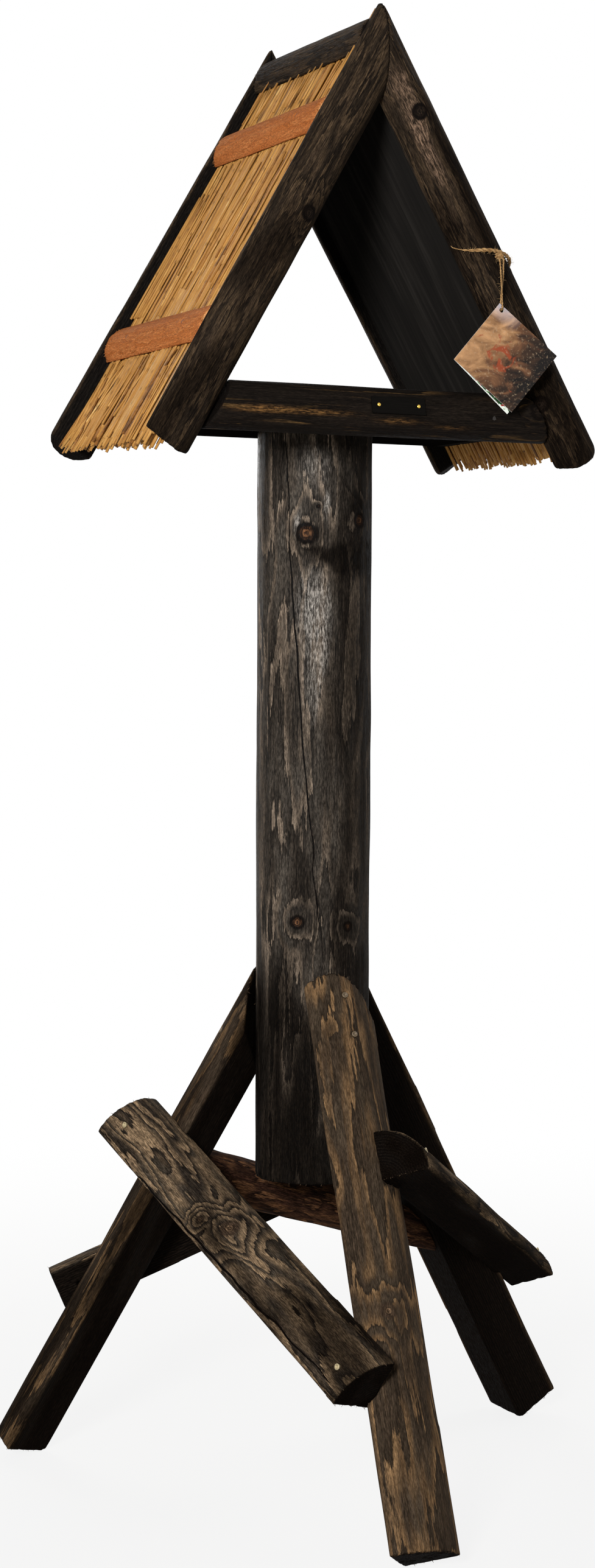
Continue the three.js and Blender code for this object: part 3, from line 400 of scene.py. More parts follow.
def roughLog(name, node, start, end, radius, material, seed, voxel=0.002, swell=0.0004, chip=0.0008,
             knots=(), cracks=(), ripple=(0.005, 0.005, 0.06), smoothing=2, allRound=False, darkFoot=None,
             paintedShadeSide=None, wearAndSheen=(), softFoot=0.0):
    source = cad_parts[node].data.copy()
    shape = bmesh.new()
    shape.from_mesh(source)
    bmesh.ops.remove_doubles(shape, verts=shape.verts, dist=1e-6)
    shape.to_mesh(source)
    shape.free()
    toWorld = logMatrix(source, Vector(start), Vector(end))
    toLog = toWorld.inverted()
    source.transform(toLog)
    mesh = voxelMesh(source, voxel, smoothing)
    count = len(mesh.vertices)
    points, normals = np.empty(count * 3), np.empty(count * 3)
    mesh.vertices.foreach_get("co", points)
    mesh.vertices.foreach_get("normal", normals)
    points, normals = points.reshape(-1, 3), normals.reshape(-1, 3)
    out = np.hypot(points[:, 0], points[:, 1])
    low, high = points[:, 2].min(), points[:, 2].max()
    roundSide = np.ones(count) if allRound else np.clip((out / radius - 0.90) / 0.06, 0, 1)
    sawnEnd = np.clip((np.abs(normals[:, 2]) - 0.6) / 0.2, 0, 1)

    surface = logSurface
    waves = surface["flatWave"] + (1 - surface["flatWave"]) * roundSide
    shift = noiseAt(points, ripple, seed) * swell * waves * (1 - sawnEnd)
    shift += noiseAt(points, surface["wander"], seed + 3) * swell * roundSide
    nearEnd = np.exp(-np.minimum(points[:, 2] - low, high - points[:, 2]) / surface["endWear"])
    shift -= np.clip(noiseAt(points, (0.006, 0.006, 0.01), seed + 5), 0, 1) * chip * nearEnd * 2
    knotAway = np.full(count, 99.0)
    for place, size in knots:
        away = np.linalg.norm(points - np.array(toLog @ Vector(place)), axis=1) * 1000
        shift += surface["knotRise"] * size * np.exp(-(away / surface["knotReach"]) ** 2) * roundSide
        shift -= surface["heartDip"] * size * np.exp(-(away / surface["heartReach"]) ** 2) * roundSide
        knotAway = np.minimum(knotAway, away / size)
    crackOff, crackWide = np.full(count, 50.0), np.zeros(count)
    for number, crack in enumerate(cracks):
        wobble = noiseAt(points * np.array((0, 0, 1)), (1, 1, 0.03), seed + 11 + number) * 3.0
        off, wide = crackLines(points, [(toLog @ Vector(place), width) for place, width in crack], wobble)
        nearer = np.abs(off) < np.abs(crackOff)
        crackOff, crackWide = np.where(nearer, off, crackOff), np.where(nearer, wide, crackWide)
    shift -= surface["crackDip"] * np.exp(-(crackOff / surface["crackReach"]) ** 2) * np.clip(crackWide, 0, 1) * roundSide
    points += normals * shift[:, None]
    if softFoot:                             # the corners of the foot are rounded over
        centre = points[points[:, 2] > high - 0.003, :2].mean(0)
        inside = softFoot - np.clip(high - points[:, 2], 0, softFoot)
        inset = softFoot - np.sqrt(softFoot ** 2 - inside ** 2)
        points[:, :2] = centre + (points[:, :2] - centre) * (1 - inset / radius)[:, None]
    mesh.vertices.foreach_set("co", points.ravel())
    grain = points + np.array((0, 0, seed * 1.7))
    darkening = darkeningShare(points, toLog, out, seed, darkFoot, paintedShadeSide, wearAndSheen)
    for label, values in (("grain", grain), ("marks", np.stack((knotAway, crackOff, crackWide), 1)),
                          ("sides", np.stack((sawnEnd, roundSide, darkening), 1))):
        layer = mesh.attributes.new(label, "FLOAT_VECTOR", "POINT")
        layer.data.foreach_set("vector", values.astype(np.float32).ravel())
    mesh.transform(toWorld)
    mesh.shade_smooth()
    mesh.materials.clear()
    mesh.materials.append(material)
    logs[node] = addPiece(name, mesh, [node])


# Each log: its pith from start to end; knots by place and size; cracks as places with a width in mm;
# paler patches, of rubbed wear and painted highlight, by place, half width, half length and amount, darker below 0
post = {
    "start": (-0.0432536, 0.0556354, 0.315), "end": (-0.0432536, 0.0556354, 1.0877), "radius": 0.0593,
    "knots": [((-0.0764, 0.0065, 0.981), 1.6), ((-0.0215, 0.0005, 0.995), 1.1), ((-0.0664, 0.001, 1.008), 0.35),
              ((-0.033, -0.0028, 0.58), 0.8), ((-0.0829, 0.0116, 0.585), 1.0), ((0.0159, 0.0556, 0.79), 0.9),
              ((-0.03, 0.114, 0.93), 1.0), ((-0.08, 0.103, 0.52), 0.9)],
    "cracks": [[((-0.093, 0.0233, 1.073), 0.5), ((-0.0852, 0.0137, 0.873), 0.9), ((-0.0659, 0.0008, 0.594), 0.6),
                ((-0.0566, -0.0021, 0.535), 0.0)],
               [((0.009, 0.083, 0.95), 0.0), ((0.012, 0.078, 0.7), 0.9), ((0.010, 0.08, 0.4), 0.4)]],
    # above 0 these paint the post's satin highlight, below 0 they darken it
    "wearAndSheen": [((-0.069, 0.002, 0.905), 0.020, 0.040, 0.75), ((-0.066, 0.001, 0.83), 0.014, 0.05, 0.5),
               ((-0.066, 0.001, 1.05), 0.02, 0.025, 0.5), ((-0.050, -0.003, 0.998), 0.015, 0.020, 0.45),
               ((-0.085, 0.012, 0.992), 0.004, 0.012, 0.8), ((-0.058, -0.002, 1.012), 0.003, 0.010, 0.8),
               ((-0.060, -0.001, 0.957), 0.013, 0.008, -0.8), ((-0.040, -0.004, 0.955), 0.014, 0.012, -0.9),
               ((-0.020, 0.001, 0.958), 0.014, 0.012, -0.8), ((-0.003, 0.012, 0.955), 0.012, 0.015, -0.8),
               ((-0.022, 0.000, 1.012), 0.010, 0.010, -0.6), ((-0.071, 0.003, 0.965), 0.010, 0.005, -0.6),
               ((-0.06, -0.001, 0.70), 0.02, 0.06, -0.35)],
}
# Its side turned from the key lamp gets painted shade
roughLog("round_post", "post", post["start"], post["end"], post["radius"], wood["post"], 1, voxel=0.0025,
         swell=0.0006, knots=post["knots"], cracks=post["cracks"], allRound=True, darkFoot=(0.32, 0.12),
         paintedShadeSide=(-40, 70, 0.6), wearAndSheen=post["wearAndSheen"])

splitRadius = {"leg": 0.0559, "brace": 0.0519}
legs = {
    "front": {"start": (-0.05435, -0.00516, 0.4235), "end": (-0.10005, -0.25426, 0.0), "seed": 2,
              "knots": [((-0.0808, -0.1853, 0.2255), 1.1), ((-0.066, -0.045, 0.488), 0.5)]},
    "left": {"start": (-0.08895, 0.09714, 0.4175), "end": (-0.26315, 0.25484, 0.0), "seed": 3, "darkFoot": (-0.6, 1.2)},
    "right": {"start": (0.01605, 0.07344, 0.4236), "end": (0.26725, 0.14894, 0.0), "seed": 4},
}
for name, leg in legs.items():
    roughLog(f"split_leg_{name}", f"leg_{name}", leg["start"], leg["end"], splitRadius["leg"], wood["leg"],
             leg["seed"], knots=leg.get("knots", ()), darkFoot=leg.get("darkFoot"))

braces = {
    "front": {"start": (-0.19135, 0.18664, 0.3436), "end": (-0.11515, -0.21346, 0.1415), "seed": 5,
              "knots": [((-0.1772, -0.0315, 0.2853), 1.3), ((-0.1959, -0.0009, 0.2905), 0.6)],
              "cracks": [[((-0.2272, 0.1203, 0.3348), 0.6), ((-0.217, 0.0595, 0.3033), 0.9),
                          ((-0.1996, -0.0239, 0.2645), 1.3), ((-0.1833, -0.1045, 0.2258), 1.2),
                          ((-0.1713, -0.1623, 0.1978), 0.8), ((-0.1589, -0.2179, 0.1735), 0.5)]],
              "darkFoot": (0.20, 0.62),
              "wearAndSheen": [((-0.16, -0.16, 0.22), 0.03, 0.05, -0.5), ((-0.19, -0.02, 0.30), 0.02, 0.03, -0.3)]},
    "right": {"start": (-0.05575, -0.12426, 0.3396), "end": (0.26885, 0.17234, 0.1441), "seed": 6,
              "darkFoot": (-0.6, 0.4)},
    "rear": {"start": (0.14045, 0.12984, 0.3177), "end": (-0.24045, 0.24904, 0.148), "seed": 7},
}
for name, brace in braces.items():
    roughLog(f"split_brace_{name}", f"brace_{name}", brace["start"], brace["end"], splitRadius["brace"], wood["brace"],
             brace["seed"], knots=brace.get("knots", ()), cracks=brace.get("cracks", ()),
             darkFoot=brace.get("darkFoot"), wearAndSheen=brace.get("wearAndSheen", ()))

# Its ends, in from its box's corners
stretcher = {"left": (0.012, 0.02, -0.03), "right": (-0.01, -0.02, 0.025), "radius": 0.026}
low, high = (Vector(corner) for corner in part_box("stretcher_rear"))
middle = (low.y + high.y) / 2
roughLog("rear_stretcher", "stretcher_rear", Vector((low.x, middle, high.z)) + Vector(stretcher["left"]),
         Vector((high.x, middle, low.z)) + Vector(stretcher["right"]), stretcher["radius"], wood["bark"], 8,
         swell=0.0009, ripple=(0.008, 0.008, 0.02), allRound=True)
print("stand made")

barges = {
    "front_left": {"side": -1, "depth": house["frontFlat"], "angle": house["slope"], "seed": 9, "darkFoot": (0.22, 0.55),
                   "knots": [((-0.1314, -0.1031, 1.2835), 1.0)]},
    "front_right": {"side": 1, "depth": house["frontFlat"], "angle": house["slope"], "seed": 10,
                    "knots": [((-0.0103, -0.1046, 1.3915), 1.0), ((0.1345, -0.0985, 1.1120), 1.1)],
                    "darkFoot": (0.12, 0.50),
                    "wearAndSheen": [((-0.027, -0.103, 1.418), 0.014, 0.016, 0.8), ((-0.012, -0.104, 1.385), 0.010, 0.02, 0.9),
                               ((0.000, -0.104, 1.352), 0.007, 0.03, 0.7), ((0.012, -0.104, 1.335), 0.006, 0.03, 0.4)]},
    "rear_left": {"side": -1, "depth": house["rearFlat"], "angle": house["rearSlope"], "seed": 11},
    "rear_right": {"side": 1, "depth": house["rearFlat"], "angle": house["rearSlope"], "seed": 12},
}
for name, barge in barges.items():
    ends = [slopePoint(barge["side"], down, house["bargeRadius"], barge["depth"], barge["angle"]) for down in (0.0, 0.5)]
    roughLog(f"barge_log_{name}", f"barge_{name}", ends[0], ends[1], house["bargeRadius"], wood["barge"],
             barge["seed"], swell=0.0005, ripple=(0.004, 0.004, 0.05), knots=barge.get("knots", ()),
             darkFoot=barge.get("darkFoot"), wearAndSheen=barge.get("wearAndSheen", ()), softFoot=0.012)

rails = {
    "front": {"depth": house["frontFlat"], "height": 1.0975, "seed": 13, "knots": [((0.128, -0.1, 1.103), 1.1)],
              "wearAndSheen": [((-0.180, -0.1035, 1.0935), 0.0035, 0.034, 0.9), ((-0.120, -0.1037, 1.0925), 0.0028, 0.038, 0.75),
                         ((-0.030, -0.1020, 1.0876), 0.0035, 0.024, 0.55), ((0.030, -0.0995, 1.0840), 0.0028, 0.022, 0.4)]},
    "rear": {"depth": house["rearFlat"], "height": 1.1125, "seed": 14},
}
railHalf = Vector((0.17, 0, 0))
for name, rail in rails.items():
    middle = house["postPlace"] + Vector((0, rail["depth"], rail["height"]))
    roughLog(f"rail_log_{name}", f"rail_{name}", middle - railHalf, middle + railHalf, house["railRadius"], wood["rail"],
             rail["seed"], knots=rail.get("knots", ()), wearAndSheen=rail.get("wearAndSheen", ()))
print("barge boards and rails made")

# ---- reed thatch ----
# Water reed, cut dry and laid butt end down: golden straw stems with a darker joint every 100 mm or so
reeds = {
    "thickness": (0.0021, 0.0037),           # a stem's diameter
    "pitch": 0.0026,                         # between stems of one layer
    "layers": (0.0116, 0.0148, 0.0182, 0.0216),     # depths below the barge boards' outer edge
    "length": 0.508, "shares": {-1: (1.0, 0.965), 1: (0.985, 0.975)},     # front and rear
    "ragged": (-0.016, 0.004),
    "firstJoint": (0.03, 0.11), "jointGap": (0.07, 0.15), "ringGap": 0.038,
    "darkShare": 0.06,                       # this share of the stems is much darker
    "strays": [(0.055, 0.104, 6, 0.05), (0.150, 0.345, 26, 0.05), (0.394, 0.503, 20, 0.14)],      # from, to, count, lean
    "strayReach": (0.03, 0.09), "strayThickness": (0.0007, 0.0013),
    "shortOnes": 8, "splayed": 26, "brokenTops": 12,
}


def strawReed():
    material, tree = newMaterial("dry_water_reed")
    # along each stem: its own tone, then 1 at a joint and 2 for painted shade inside the cut end, then the way along it
    tone = addNode(tree, "ShaderNodeAttribute", attribute_name="tone")
    tone = addNode(tree, "ShaderNodeSeparateXYZ", {0: tone.outputs["Vector"]})
    blotch = addNode(tree, "ShaderNodeMath", {0: tone.outputs[2], 1: 34.0}, operation="MULTIPLY")      # one every 30 mm
    broad = addNode(tree, "ShaderNodeTexNoise", {"W": blotch, "Scale": 1.0, "Detail": 2.0}, noise_dimensions="1D")
    place = addNode(tree, "ShaderNodeTexCoord").outputs["Object"]
    speckle = addNode(tree, "ShaderNodeTexNoise", {"Vector": place, "Scale": 420.0, "Detail": 3.0, "Roughness": 0.75})
    value = addNode(tree, "ShaderNodeMath", {0: speckle.outputs[0], 1: 0.45, 2: tone.outputs[0]}, operation="MULTIPLY_ADD")
    value = addNode(tree, "ShaderNodeMath", {0: broad.outputs[0], 1: 0.75, 2: value}, operation="MULTIPLY_ADD")
    value = addNode(tree, "ShaderNodeMath", {0: value, 1: 0.60}, operation="SUBTRACT")
    straw = addNode(tree, "ShaderNodeValToRGB", {0: value}, stops=[(0.0, "#553515"), (1.0, "#d8b272"), (0.10, "#845525"),
                                                                   (0.28, "#a07035"), (0.56, "#b07f40"), (0.80, "#be904f")])
    jointed = addNode(tree, "ShaderNodeMapRange", {0: tone.outputs[1], 1: 0.0, 2: 1.0, 3: 0.0, 4: 0.5})
    joint = addNode(tree, "ShaderNodeMix", {0: jointed, 6: straw, 7: "#5f3d19"}, data_type="RGBA")
    # painted shade: dark brown deep inside the hollow cut end
    hollowShade = addNode(tree, "ShaderNodeMapRange", {0: tone.outputs[1], 1: 1.0, 2: 2.0})
    inside = addNode(tree, "ShaderNodeMix", {0: hollowShade, 6: joint.outputs[2], 7: "#2e1c0c"}, data_type="RGBA")
    finishMaterial(tree, inside.outputs[2], 0.55, speckle.outputs[0], 0.0002, specular=0.2)
    return material


def newStore():
    return {"points": [], "faces": [], "tones": []}


def addTube(store, line, radii, tones, sides=6, hollowEnd=False):
    first = len(store["points"])
    ahead = (line[1] - line[0]).normalized()
    across = ahead.orthogonal().normalized()
    for i, centre in enumerate(line):
        ahead = (line[min(i + 1, len(line) - 1)] - line[max(i - 1, 0)]).normalized()
        across = (across - ahead * across.dot(ahead)).normalized()
        over = ahead.cross(across)
        for k in range(sides):
            turn = 2 * math.pi * k / sides
            store["points"].append(centre + across * (radii[i] * math.cos(turn)) + over * (radii[i] * math.sin(turn)))
            store["tones"].append(tones[i])
    rings = len(line)
    if hollowEnd:                            # the wall's inner edge, and a floor a little way in, coloured with painted shade
        for reach, share, tone in ((0, 0.55, tones[-1]), (0.004, 0.5, (tones[-1][0], 2, tones[-1][2]))):
            for k in range(sides):
                turn = 2 * math.pi * k / sides
                store["points"].append(line[-1] - ahead * reach + across * (radii[-1] * share * math.cos(turn))
                                       + over * (radii[-1] * share * math.sin(turn)))
                store["tones"].append(tone)
        rings += 2
    for i in range(rings - 1):
        for k in range(sides):
            a, b = first + i * sides + k, first + i * sides + (k + 1) % sides
            store["faces"].append((a, b, b + sides, a + sides))
    store["faces"].append(tuple(first + k for k in reversed(range(sides))))
    store["faces"].append(tuple(first + (rings - 1) * sides + k for k in range(sides)))


def finishStore(name, store, material, nodes=(), body="table"):
    mesh = bpy.data.meshes.new(name)
    mesh.from_pydata([tuple(p) for p in store["points"]], [], store["faces"])
    layer = mesh.attributes.new("tone", "FLOAT_VECTOR", "POINT")
    layer.data.foreach_set("vector", np.array(store["tones"], dtype=np.float32).ravel())
    mesh.shade_smooth()
    mesh.materials.append(material)
    addPiece(name, mesh, nodes, body)


def addReed(store, chance, side, depth, inset, top, bottom, slant=0.0, lift=0.0, thick=None):
    thick = thick or chance.uniform(*reeds["thickness"]) / 2
    tone = min(0.75, max(0, chance.gauss(0.50, 0.15)))
    if chance.random() < reeds["darkShare"]:
        tone = chance.uniform(0.05, 0.25)
    length = bottom - top
    joints = []
    at = bottom - chance.uniform(*reeds["firstJoint"])
    while at > top + 0.01:
        joints.append(at)
        at -= chance.uniform(*reeds["jointGap"])
    stations = [(top, 0), (bottom, 0)]       # along the stem, and 1 at a joint
    for at in joints:
        stations += [(at - 0.003, 0), (at - 0.0006, 1), (at + 0.0006, 1), (at + 0.003, 0)]
    at = top + 0.03
    while at < bottom - 0.012:
        if all(abs(at - j) > 0.008 for j in joints):
            stations.append((at, 0))
        at += reeds["ringGap"]
    stations.sort()
    phase, sway = chance.uniform(0, 6.3), chance.uniform(0.0003, 0.0013)
    bend = chance.gauss(0, 0.0022)
    own = chance.uniform(0, 40)              # where its own blotches start
    line, radii, tones = [], [], []
    for down, joint in stations:
        share = (down - top) / length
        shift = sway * math.sin(phase + down * 17) + slant * (share - 0.5) * length + bend * share * share
        rise = 0.0004 * math.sin(phase * 2 + down * 23) + lift * share ** 3
        place = min(max(depth + shift, house["frontFlat"] + 0.0003 + thick), house["rearFlat"] - 0.0003 - thick)
        line.append(slopePoint(side, down, inset - rise, place))
        radii.append(thick * (0.72 + 0.28 * share) * (1.14 if joint else 1.0))
        tones.append((tone, joint, own + down))
    addTube(store, line, radii, tones, hollowEnd=True)


def thatch(name, side, seed):
    chance = random.Random(seed)
    store = newStore()
    front, rear = reeds["shares"][side]
    span = house["rearFlat"] - house["frontFlat"]
    for number, inset in enumerate(reeds["layers"]):
        depth = house["frontFlat"] + 0.0018 + 0.0009 * number
        while depth < house["rearFlat"] - 0.0018:
            share = (depth - house["frontFlat"]) / span
            full = reeds["length"] * (front + (rear - front) * share)
            bottom = full + chance.uniform(*reeds["ragged"]) - 0.0015 * number
            top = 0.024 + chance.uniform(0, 0.008) + 0.01 * number
            addReed(store, chance, side, depth, inset + chance.uniform(-0.0006, 0.0006), top, bottom,
                    slant=chance.gauss(0, 0.009), lift=chance.gauss(-0.0005, 0.0016))
            depth += reeds["pitch"] * chance.uniform(0.8, 1.2)
    for low, high, count, lean in reeds["strays"]:      # thin ones lie across the others, most of them towards the rear
        for _ in range(count):
            middle = chance.uniform(low + 0.02, high - 0.01)
            reach = chance.uniform(*reeds["strayReach"])
            depth = chance.uniform(house["frontFlat"] + 0.01, house["rearFlat"] - 0.01)
            addReed(store, chance, side, depth, 0.0096 - chance.uniform(0, 0.0008), max(low, middle - reach),
                    min(high, middle + reach), slant=chance.gauss(lean * 0.6, lean),
                    thick=chance.uniform(*reeds["strayThickness"]))
    for number in range(reeds["shortOnes"]):            # top up the layer near the rear, their tips standing off
        addReed(store, chance, side, house["rearFlat"] - 0.006 - 0.0036 * number, 0.0084 + 0.0007 * (number % 2),
                0.190 + chance.uniform(-0.02, 0.02), 0.338, slant=0.012 + 0.004 * (number % 3), thick=0.0013)
    for _ in range(reeds["splayed"]):        # loose ones splay out at the eave, mostly towards the rear
        share = chance.random() ** 0.6
        depth = house["frontFlat"] + 0.02 + (span - 0.03) * share
        bottom = reeds["length"] * (front + (rear - front) * share) + chance.uniform(-0.004, 0.006)
        addReed(store, chance, side, depth, chance.uniform(0.0096, 0.013), bottom - chance.uniform(0.06, 0.11), bottom,
                slant=chance.gauss(0.16 * share, 0.12), lift=chance.uniform(-0.004, 0.002),
                thick=chance.uniform(0.0009, 0.0016))
    for _ in range(reeds["brokenTops"]):     # these lie on the ridge slat's lower edge
        addReed(store, chance, side, chance.uniform(house["frontFlat"] + 0.01, house["rearFlat"] - 0.01),
                chance.uniform(0.0034, 0.0048), chance.uniform(0.056, 0.064), 0.10, slant=chance.gauss(0, 0.10),
                thick=chance.uniform(0.0007, 0.0014))
    if side < 0:                             # and two tips stand out by the ridge slat
        addReed(store, chance, side, house["frontFlat"] + 0.012, 0.0040, 0.004, 0.10, slant=0.03, thick=0.0010)
        addReed(store, chance, side, house["rearFlat"] - 0.03, 0.0045, 0.035, 0.10, slant=0.25, thick=0.0008)
    finishStore(name, store, reedMaterial, [f"thatch_{'left' if side < 0 else 'right'}"])


reedMaterial = strawReed()
thatch("reed_layer_left", -1, 21)
thatch("reed_layer_right", 1, 22)
print("reeds laid")

# ---- battens over the reeds, and ridge slats ----
# Planed hardwood slats, rough sawn ends, oiled to an orange brown
battenLook = dict(
    braceLook, dark="#a35e2f", darkPale="#b36b3b", grey="#9a562b", greyShare=0.4, tan="#a96336", tanPale="#bd7946",
    flat="#a0602f", flatPale="#b8733f", end="#9a6035", endPale="#cf9560", patchWidth=12, patchLength=110,
    contours=4.0, serration=1.0, fingerWidth=1.6, fingerLength=9, tuftLength=2.5, grit=0.20, relief=0.0007)
wood["batten"] = stainedWood("oiled_hardwood_slat", battenLook)
battens = {"upper": 0.126, "lower": 0.370, "ridge": 0.032}      # metres down the slope
slat = {"inset": 0.008, "radius": 0.021}
for sideName, side in (("left", -1), ("right", 1)):
    for level, reach in battens.items():
        node = f"ridge_slat_{sideName}" if level == "ridge" else f"batten_{sideName}_{level}"
        kind = "barge" if level == "ridge" else "batten"
        ends = [slopePoint(side, reach, slat["inset"], depth) for depth in (house["frontFlat"], house["rearFlat"])]
        roughLog(f"slat_{sideName}_{level}", node, ends[0], ends[1], slat["radius"], wood[kind],
                 30 + side * 3 + int(reach * 10), voxel=0.0016, chip=0.0015, ripple=(0.003, 0.003, 0.03), allRound=True)
print("battens made")

# Torn fibres, paler than the stain, stand off the rims of the sawn ends
splinters = {
    "length": (0.0008, 0.0026), "thickness": 0.00028, "root": 0.0006,
    "rims": {"post": 60, "leg_left": 70, "leg_right": 70, "leg_front": 50, "brace_front": 60, "brace_right": 90,
             "brace_rear": 50},
    "slats": {"batten_left_upper": 90, "batten_left_lower": 90, "batten_right_upper": 70, "batten_right_lower": 70,
              "ridge_slat_left": 120, "ridge_slat_right": 90},
}


def tornFibre(name, dark, pale):
    material, tree = newMaterial(name)
    place = addNode(tree, "ShaderNodeTexCoord").outputs["Object"]
    fine = addNode(tree, "ShaderNodeTexNoise", {"Vector": place, "Scale": 500.0, "Detail": 1.0})
    shade = addNode(tree, "ShaderNodeMix", {0: fine.outputs[0], 6: dark, 7: pale}, data_type="RGBA")
    finishMaterial(tree, shade.outputs[2], 0.85, specular=0.05)
    return material


def addSplinters(name, node, count, material, seed):
    mesh = logs[node].data
    chance = random.Random(seed)
    rims = [v.index for v in mesh.vertices if 0.05 < mesh.attributes["sides"].data[v.index].vector[0] < 0.9]
    middle = sum((v.co for v in mesh.vertices), Vector()) / len(mesh.vertices)
    store = newStore()
    for index in chance.sample(rims, min(count, len(rims))):
        vertex = mesh.vertices[index]
        stray = Vector([chance.gauss(0, 0.4) for _ in range(3)])
        aim = (vertex.normal * 0.7 + (vertex.co - middle).normalized() * 0.6 + stray).normalized()
        reach = chance.uniform(*splinters["length"])
        drift = Vector([chance.gauss(0, 0.25) for _ in range(3)]) * reach
        thick = splinters["thickness"] * chance.uniform(0.6, 1.4)
        root = splinters["root"]
        line = [vertex.co - aim * root + aim * (reach + root) * t + drift * t * t for t in (0, 0.4, 1)]
        if line[-1].z > 0.0005:              # none reaches into the floor
            addTube(store, line, [thick, thick * 0.8, thick * 0.3], [(0.5, 0, 0)] * 3, sides=4)
    finishStore(name, store, material)


darkFibre = tornFibre("torn_stained_fibre", "#2a211a", "#6f5c48")
orangeFibre = tornFibre("torn_slat_fibre", "#8a5329", "#c98f5c")
for number, (node, count) in enumerate(splinters["rims"].items()):
    addSplinters(f"fibres_{node}", node, count, darkFibre, 60 + number)
for number, (node, count) in enumerate(splinters["slats"].items()):
    fibre, slot = (darkFibre, "barge_wood") if node.startswith("ridge") else (orangeFibre, "batten_wood")
    addSplinters(f"fibres_{node}", node, count, fibre, 90 + number)
print("torn fibres added")


# ---- boards: floor and the two under the reeds ----
# Exterior board with a near-black stain, matt, with faint grain down the slope
def darkBoard(name, turn, dark="#1b1a19", middle="#23211f", pale="#33302d"):
    material, tree = newMaterial(name)
    place = addNode(tree, "ShaderNodeTexCoord").outputs["Object"]
    level = addNode(tree, "ShaderNodeVectorRotate", {"Vector": place, "Angle": turn}, rotation_type="Y_AXIS")
    long = addNode(tree, "ShaderNodeVectorMath", {0: level, 1: (140, 140, 7)}, operation="MULTIPLY")
    fibre = addNode(tree, "ShaderNodeTexNoise", {"Vector": long, "Scale": 1.0, "Detail": 4.0, "Roughness": 0.6,
                                                 "Distortion": 0.4})
    wide = addNode(tree, "ShaderNodeVectorMath", {0: level, 1: (30, 30, 2.5)}, operation="MULTIPLY")
    cloud = addNode(tree, "ShaderNodeTexNoise", {"Vector": wide, "Scale": 1.0, "Detail": 3.0, "Distortion": 0.8})
    value = addNode(tree, "ShaderNodeMath", {0: fibre.outputs[0], 1: cloud.outputs[0]}, operation="MULTIPLY")
    shade = addNode(tree, "ShaderNodeValToRGB", {0: value}, stops=[(0.1, dark), (0.5, pale), (0.28, middle)])
    finishMaterial(tree, shade, 0.85, fibre.outputs[0], 0.0004, specular=0.0)
    return material


def dress(node, material):                   # a solid that keeps its own shape
    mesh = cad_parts[node].data
    mesh.materials.clear()
    mesh.materials.append(material)


dress("roof_panel_left", darkBoard("stained_board_left", -math.radians(house["slope"])))
dress("roof_panel_right", darkBoard("stained_board_right", math.radians(house["slope"])))
dress("floor_board", darkBoard("stained_floor_board", math.pi / 2, "#090807", "#0c0a09", "#14110f"))


# ---- metal: screws, nails and pins ----
def plainMetal(name, base, roughness, metallic=1.0, scratch=900.0):
    material, tree = newMaterial(name)
    place = addNode(tree, "ShaderNodeTexCoord").outputs["Object"]
    cloud = addNode(tree, "ShaderNodeTexNoise", {"Vector": place, "Scale": scratch, "Detail": 2.0})
    rough = addNode(tree, "ShaderNodeMath", {0: cloud.outputs[0], 1: 0.25, 2: roughness - 0.12}, operation="MULTIPLY_ADD")
    shade = addNode(tree, "ShaderNodeMix", {0: cloud.outputs[0], 6: base[0], 7: base[1]}, data_type="RGBA")
    finishMaterial(tree, shade.outputs[2], rough, cloud.outputs[0], 0.00004, metallic=metallic)
    return material


zincScrew = plainMetal("yellow_zinc_screw", ("#8f8162", "#b3a480"), 0.55, 0.35)      # pale yellow passivated zinc
stainedScrew = plainMetal("screw_brushed_over_with_stain", ("#4a3d2d", "#6e5d45"), 0.6, 0.2)
darkNail = plainMetal("dull_steel_nail", ("#1d1a18", "#2f2a26"), 0.7, 0.3)
rustyNail = plainMetal("rusty_nail", ("#6a3c20", "#8a5029"), 0.8, 0.0)
brass = plainMetal("polished_brass", ("#c29a3e", "#e3bf62"), 0.25)


def headOf(node):                            # the middle of a fastener's head, and the way it faces
    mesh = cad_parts[node].data
    points = np.array([v.co for v in mesh.vertices])
    centre = points.mean(0)
    axis = np.linalg.svd(points - centre, full_matrices=False)[2][0]
    along = (points - centre) @ axis
    off = np.linalg.norm(points - centre - along[:, None] * axis, axis=1)
    if off[along > along.max() - 0.0012].max() < off[along < along.min() + 0.0012].max():
        axis, along = -axis, -along
    return Vector(centre + axis * along.max()), Vector(axis)


def latheHead(name, node, profile, recess, material, facets=24):
    top, outward = headOf(node)
    across = outward.orthogonal().normalized()
    over = outward.cross(across)
    shape = bmesh.new()
    rings = []
    for radius, rise in profile:
        ring = []
        for k in range(facets):
            turn = 2 * math.pi * k / facets
            lobe = 1 + recess * math.cos(6 * turn) if rise < profile[-3][1] and radius < 0.0019 and recess else 1
            spoke = across * (radius * lobe * math.cos(turn)) + over * (radius * lobe * math.sin(turn))
            ring.append(shape.verts.new(top + spoke + outward * rise))
        rings.append(ring)
    for a, b in zip(rings, rings[1:]):
        for k in range(facets):
            shape.faces.new((a[k], a[(k + 1) % facets], b[(k + 1) % facets], b[k]))
    shape.faces.new(rings[-1])
    shape.faces.new(list(reversed(rings[0])))
    bmesh.ops.recalc_face_normals(shape, faces=shape.faces)
    mesh = bpy.data.meshes.new(name)
    shape.to_mesh(mesh)
    shape.free()
    mesh.shade_smooth()
    mesh.materials.append(material)
    addPiece(name, mesh, [node])


